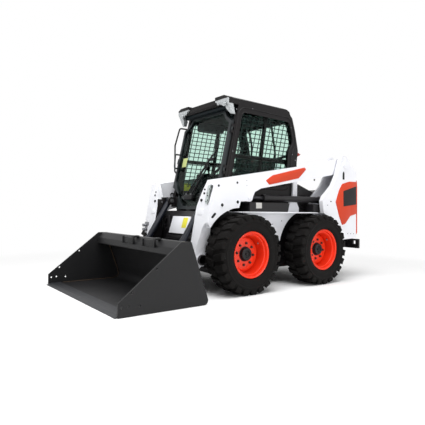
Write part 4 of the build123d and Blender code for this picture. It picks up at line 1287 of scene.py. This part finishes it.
    def guards(self) -> None:
        """White guards with rounded tops beside the tilt cylinders' upper pins, and the pins' caps."""
        guard, caps = bmesh.new(), bmesh.new()
        for side in Side:
            add_plate(guard, self.datum.side(self.guard), side.value * 0.394, side.value * 0.420, 0.012, 0.003)
            foot, inward = (250, side.value * 292, 910), (0, -side.value, 0)
            self.stud(caps, foot, inward, 22, 24, 24, 22)
            self.stud(caps, foot, inward, 32, 11, 6)
        self.shop.from_bmesh("tilt_guards", guard, WHITE, "lift_arms", "white_paint")
        self.shop.from_bmesh("tilt_pin_caps", caps, STEEL, "lift_arms", "bare_steel", 40)

    def hoses(self) -> None:
        """Hose that hooks out beside each tilt pin, and the runs to the couplers."""
        for side in Side:
            y = side.value * 478
            points = [self.datum.at(x, y - side.value * inward, z)
                      for x, inward, z in ((148, 0, 985), (140, 6, 1002), (118, 8, 1004), (103, 6, 988),
                                           (106, 0, 940))]
            label = f"shoulder_hose_{side.word}"
            self.shop.finish_piece(label, tube(points, 0.006), PLASTIC, "lift_arms", "black_plastic")
        for index, (y, z) in enumerate(((-548, 585), (-548, 632))):
            points = [self.datum.at(*p) for p in ((376, y, z), (350, y + 30, z + 20), (330, y + 60, z + 90),
                                                  (320, y + 70, z + 180))]
            self.shop.finish_piece(f"coupler_hose_{index}", tube(points, 0.010), PLASTIC, "lift_arms",
                                   "black_plastic")


@dataclass
class ChassisTrim(Trim):
    """Front panel, tower badges, screws and plates of the chassis.

    Attributes:
        panel: The front panel's outline from the side.
        badge: Outline of the blank badge on each tower.
        inset: Outline of the dark inset in that badge.
        lock: Outline of the flat black plate that paints the shade of the lock's recess.
        plate: Outline of the silver plate on each side box.
        tower: How far out the towers' outer skins stand.
    """
    panel: tuple[Flat, ...] = ((288, 560), (352, 563), (296, 742), (288, 742))
    badge: tuple[Flat, ...] = ((-1552, 1144), (-1495, 1069), (-1431, 925), (-1500, 760), (-1563, 651), (-1625, 668),
                               (-1722, 760), (-1842, 785), (-1838, 1182), (-1700, 1180))
    inset: tuple[Flat, ...] = ((-1570, 1060), (-1832, 1128), (-1838, 903), (-1578, 874))
    lock: tuple[Flat, ...] = ((-1598, 1197), (-1562, 1197), (-1562, 1270), (-1572, 1293), (-1590, 1293),
                              (-1598, 1270))
    plate: tuple[Flat, ...] = ((-209, 893), (-289, 893), (-289, 836), (-209, 834))
    tower: float = 665

    def build(self) -> None:
        """Make the pieces of the nose, towers, aprons and side boxes."""
        self.nose()
        self.tower_badges()
        self.small_parts()

    def nose(self) -> None:
        """Sloping white panel on the front wall with a blank yellow plate, and the black ribs round it."""
        panel, plate, ribs = bmesh.new(), bmesh.new(), bmesh.new()
        add_plate(panel, self.datum.side(self.panel), -0.178, 0.164)
        soften(panel, panel.edges, 0.004)
        lean = Matrix.Rotation(-math.atan2(56, 179), 3, "Y")
        add_block(plate, self.datum.at(318, 85, 676), (0.003, 0.085, 0.11), lean, 0.001)
        for y in (-250, 250):
            add_block(ribs, self.datum.at(296, y, 620), (0.03, 0.05, 0.26), bevel=0.006)
        add_block(ribs, self.datum.at(300, 0, 520), (0.05, 0.56, 0.05), bevel=0.01)
        for y, z in ((-300, 720), (-316, 690), (-330, 640), (-300, 600), (300, 700), (320, 640)):
            self.stud(ribs, (288, y, z), FORWARD, 30, 12, 12)
        self.shop.from_bmesh("nose_panel", panel, WHITE, "chassis", "white_paint")
        self.shop.from_bmesh("nose_plate", plate, YELLOW, "chassis", "white_paint")
        self.shop.from_bmesh("nose_ribs", ribs, BLACK, "chassis", "black_paint")

    def tower_badges(self) -> None:
        """Blank raised badge with a dark inset on each tower."""
        badge, inset = bmesh.new(), bmesh.new()
        for side in Side:
            face = side.value * self.tower / 1000
            add_plate(badge, self.datum.side(self.badge), face, face + side.value * 0.007, 0.010, 0.004)
            add_plate(inset, self.datum.side(self.inset), face, face + side.value * 0.009, 0.010, 0.0015)
        self.shop.from_bmesh("tower_badges", badge, BADGE, "chassis", "rim_paint")
        self.shop.from_bmesh("tower_insets", inset, BLACK, "chassis", "black_paint")

    def small_parts(self) -> None:
        """Screws of the towers and fenders, black plates painted as the shade of the lock recesses, and the side
        boxes' silver plates.
        """
        screws, lock_shade_and_screws, plates = bmesh.new(), bmesh.new(), bmesh.new()
        for side in Side:
            face = side.value * self.tower / 1000
            for x, y, z in ((-1611, 665, 1388), (-1334, 665, 931), (-1352, 665, 931), (-1282, 665, 886),
                            (-1680, 665, 545), (-1740, 665, 543), (-1800, 665, 542), (-686, 505, 701),
                            (-546, 505, 667)):
                self.screw(screws, (x, side.value * y, z), side.out, 6, 3)
            # flat black plate in the lock recess's outline: painted shade of the recess
            add_plate(lock_shade_and_screws, self.datum.side(self.lock), face, face + side.value * 0.0015, 0.006)
            for x, z in ((-1345, 925), (-1335, 925)):
                self.screw(lock_shade_and_screws, (x, side.value * self.tower, z), side.out, 4, 2)
            add_plate(plates, self.datum.side(self.plate), side.value * 0.600, side.value * 0.602)
        self.shop.from_bmesh("chassis_screws", screws, IRON, "chassis", "bare_steel", 50)
        self.shop.from_bmesh("tower_locks", lock_shade_and_screws, PLASTIC, "chassis", "black_plastic")
        self.shop.from_bmesh("side_box_plates", plates, SILVER, "chassis", "bare_steel")


@dataclass
class BucketTrim(Trim):
    """Lip plates and weld beads of the bucket.

    Attributes:
        half: Inside half width.
        lip: Forward face of the formed lip.
        plates: Where each lip plate starts and ends across the bucket.
        bead: Line of each side's weld bead, from the cutting edge round to the lip.
    """
    half: float = 847.5
    lip: float = 880
    plates: tuple[Flat, ...] = ((-168, 50), (250, 465))
    bead: tuple[Flat, ...] = ((1270, 14), (900, 14), (700, 14), (640, 26), (622, 60), (640, 130), (764, 470),
                              (784, 525))

    def build(self) -> None:
        """Make the pieces of the bucket."""
        self.lip_plates()
        self.welds()

    def lip_plates(self) -> None:
        """Plates with end blocks that stand on the lip."""
        shape = bmesh.new()
        for low, high in self.plates:
            add_block(shape, self.datum.at(self.lip + 2, (low + high) / 2, 506), (0.010, (high - low) / 1000, 0.062),
                      bevel=0.002)
            for y in (low, high):
                add_block(shape, self.datum.at(self.lip + 6, y, 508), (0.024, 0.012, 0.072), bevel=0.002)
            add_block(shape, self.datum.at(self.lip - 26, high - 18, 548), (0.058, 0.060, 0.018), bevel=0.003)
        self.shop.from_bmesh("lip_plates", shape, CHARCOAL, "bucket", "bucket_paint")

    def welds(self) -> None:
        """Brownish weld beads where the floor and back meet the side plates."""
        for side in Side:
            y = side.value * (self.half - 3)
            points = [self.datum.at(x, y, z) for x, z in self.bead]
            label = f"weld_bead_{side.word}"
            self.shop.finish_piece(label, tube(points, 0.004, smooth=False), WELD, "bucket", "bucket_paint")


# ------------------------------------------------------------------ studio
def direct_sight(nodes: bpy.types.Nodes, links: bpy.types.NodeLinks) -> bpy.types.NodeSocket:
    """A factor that is 1 for the camera's own rays and for those that gloss and glass pass on.

    Args:
        nodes: The shader tree's nodes.
        links: The shader tree's links.

    Returns:
        The socket that carries the factor.
    """
    ray = nodes.new("ShaderNodeLightPath")
    total = ray.outputs["Is Camera Ray"]
    for kind in ("Is Glossy Ray", "Is Transmission Ray"):
        either = nodes.new("ShaderNodeMath")
        either.operation = "MAXIMUM"
        links.new(total, either.inputs[0])
        links.new(ray.outputs[kind], either.inputs[1])
        total = either.outputs["Value"]
    return total


@dataclass(frozen=True)
class Lamp:
    """A soft square lamp that neither the camera nor glass shows.

    Attributes:
        name: Its name.
        place: Where it hangs.
        target: What it points at.
        size: Its side, in metres.
        power: Its output, in watts.
    """
    name: str
    place: Point
    target: Point
    size: float
    power: float

    def hang(self) -> None:
        """Add the lamp to the scene."""
        light = bpy.data.lights.new(self.name, "AREA")
        light.size = self.size
        light.energy = self.power
        holder = bpy.data.objects.new(self.name, light)
        holder.visible_camera = False
        holder.visible_transmission = False
        aim = (Vector(self.target) - Vector(self.place)).to_track_quat("-Z", "Y").to_matrix().to_4x4()
        holder.matrix_world = Matrix.Translation(self.place) @ aim
        bpy.context.scene.collection.objects.link(holder)


@dataclass
class Studio:
    """White floor, soft lamps, pale world and the camera.

    Attributes:
        lens: Focal length on the 36 mm sensor.
        place: Camera position ahead of the front axle, to its left and above the ground.
        yaw: Heading in degrees from +X.
        pitch: Degrees above the horizon.
        roll: Degrees that the camera leans.
        lamps: The lamps round the machine.
        sky: Strength of the world's own light.
        paleness: How pale the floor is, 1 for white.
        fade: Distances at which the floor starts and ends its fade into the background.
    """
    lens: float = 35.73
    place: Point = (2.754, 3.747, 0.811)
    yaw: float = -127.39
    pitch: float = -0.32
    roll: float = 0.70
    lamps: tuple[Lamp, ...] = (
        Lamp("key", (1.2, 1.8, 6.0), (0.1, 0, 0.0), 5.0, 388),
        Lamp("fill", (-1.5, 6.0, 1.2), (-0.3, 0, 0.5), 3.0, 80),
        Lamp("front", (5.5, 1.0, 2.5), (0.5, 0, 0.6), 3.0, 85),
        Lamp("back", (-2.0, -4.5, 4.0), (0, 0, 0.8), 4.0, 60))
    sky: float = 0.37
    paleness: float = 0.96
    fade: Flat = (2.4, 4.5)

    def camera(self, axle_x: float) -> None:
        """Stand the camera.

        Args:
            axle_x: Where the front axle is.
        """
        yaw, pitch, roll = (math.radians(a) for a in (self.yaw, self.pitch, self.roll))
        ahead = Vector((math.cos(yaw) * math.cos(pitch), math.sin(yaw) * math.cos(pitch), math.sin(pitch)))
        level = Vector((math.sin(yaw), -math.cos(yaw), 0))
        rise = level.cross(ahead)
        right = level * math.cos(roll) + rise * math.sin(roll)
        up = rise * math.cos(roll) - level * math.sin(roll)
        holder = bpy.data.objects.new("camera", bpy.data.cameras.new("camera"))
        holder.data.lens = self.lens
        holder.data.sensor_width = 36.0
        turn = Matrix((right, up, -ahead)).transposed().to_4x4()
        stand = Vector(self.place) + Vector((axle_x, 0, 0))
        holder.matrix_world = Matrix.Translation(stand) @ turn
        bpy.context.scene.collection.objects.link(holder)
        bpy.context.scene.camera = holder

    def floor(self) -> None:
        """Lay the white floor, which keeps the shadow near the machine and fades into the background."""
        shape = bmesh.new()
        bmesh.ops.create_grid(shape, x_segments=2, y_segments=2, size=30.0)
        mesh = bpy.data.meshes.new("floor")
        shape.to_mesh(mesh)
        shape.free()
        made = bpy.data.materials.new("studio_floor")
        made.use_nodes = True
        nodes, links = made.node_tree.nodes, made.node_tree.links
        nodes.remove(nodes["Principled BSDF"])
        matte = nodes.new("ShaderNodeBsdfDiffuse")
        matte.inputs["Color"].default_value = (*[self.paleness] * 3, 1)
        glow = nodes.new("ShaderNodeEmission")
        glow.inputs["Color"].default_value = (1, 1, 1, 1)
        place = nodes.new("ShaderNodeTexCoord")
        reach = nodes.new("ShaderNodeVectorMath")
        reach.operation = "LENGTH"
        links.new(place.outputs["Object"], reach.inputs[0])
        fade = nodes.new("ShaderNodeMapRange")
        fade.inputs["From Min"].default_value, fade.inputs["From Max"].default_value = self.fade
        links.new(reach.outputs["Value"], fade.inputs["Value"])
        seen = nodes.new("ShaderNodeMath")
        seen.operation = "MULTIPLY"
        links.new(fade.outputs["Result"], seen.inputs[0])
        links.new(direct_sight(nodes, links), seen.inputs[1])
        mix = nodes.new("ShaderNodeMixShader")
        links.new(seen.outputs["Value"], mix.inputs["Fac"])
        links.new(matte.outputs["BSDF"], mix.inputs[1])
        links.new(glow.outputs["Emission"], mix.inputs[2])
        links.new(mix.outputs["Shader"], nodes["Material Output"].inputs["Surface"])
        mesh.materials.append(made)
        ground = bpy.data.objects.new("floor", mesh)
        ground.location = (0, 0, -0.0005)
        bpy.context.scene.collection.objects.link(ground)

    def world(self) -> None:
        """A pale world that lights softly and shows white to the camera, metal and glass."""
        world = bpy.data.worlds.new("studio")
        bpy.context.scene.world = world
        world.use_nodes = True
        nodes, links = world.node_tree.nodes, world.node_tree.links
        nodes.clear()
        soft, white = nodes.new("ShaderNodeBackground"), nodes.new("ShaderNodeBackground")
        soft.inputs["Color"].default_value = (1, 1, 1, 1)
        soft.inputs["Strength"].default_value = self.sky
        white.inputs["Color"].default_value = (1, 1, 1, 1)
        white.inputs["Strength"].default_value = 1.0
        seen = direct_sight(nodes, links)
        mix, end = nodes.new("ShaderNodeMixShader"), nodes.new("ShaderNodeOutputWorld")
        links.new(seen, mix.inputs["Fac"])
        links.new(soft.outputs["Background"], mix.inputs[1])
        links.new(white.outputs["Background"], mix.inputs[2])
        links.new(mix.outputs["Shader"], end.inputs["Surface"])

    def build(self, axle_x: float) -> None:
        """Set up the whole studio.

        Args:
            axle_x: Where the front axle is.
        """
        self.camera(axle_x)
        self.floor()
        self.world()
        for lamp in self.lamps:
            lamp.hang()
        bpy.context.scene.view_settings.view_transform = "Standard"


def main() -> None:
    """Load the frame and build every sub-assembly."""
    logging.basicConfig(level=logging.INFO, format="%(message)s")
    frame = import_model()
    shop = Workshop(frame)
    wheels = [Wheel(shop, end, side) for end in End for side in Side]
    axle_x = wheels[0].centre.x
    Studio().build(axle_x)
    bodywork = Bodywork(shop)
    bodywork.build()
    bodywork.glaze()
    for wheel in wheels:
        wheel.build()
    datum = Datum(axle_x)
    for trim in (CabTrim, ArmTrim, ChassisTrim, BucketTrim):
        trim(shop, datum).build()
        LOG.info("%s done", trim.__name__)
    LOG.info("%d pieces", shop.count)


if __name__ == "__main__":
    main()
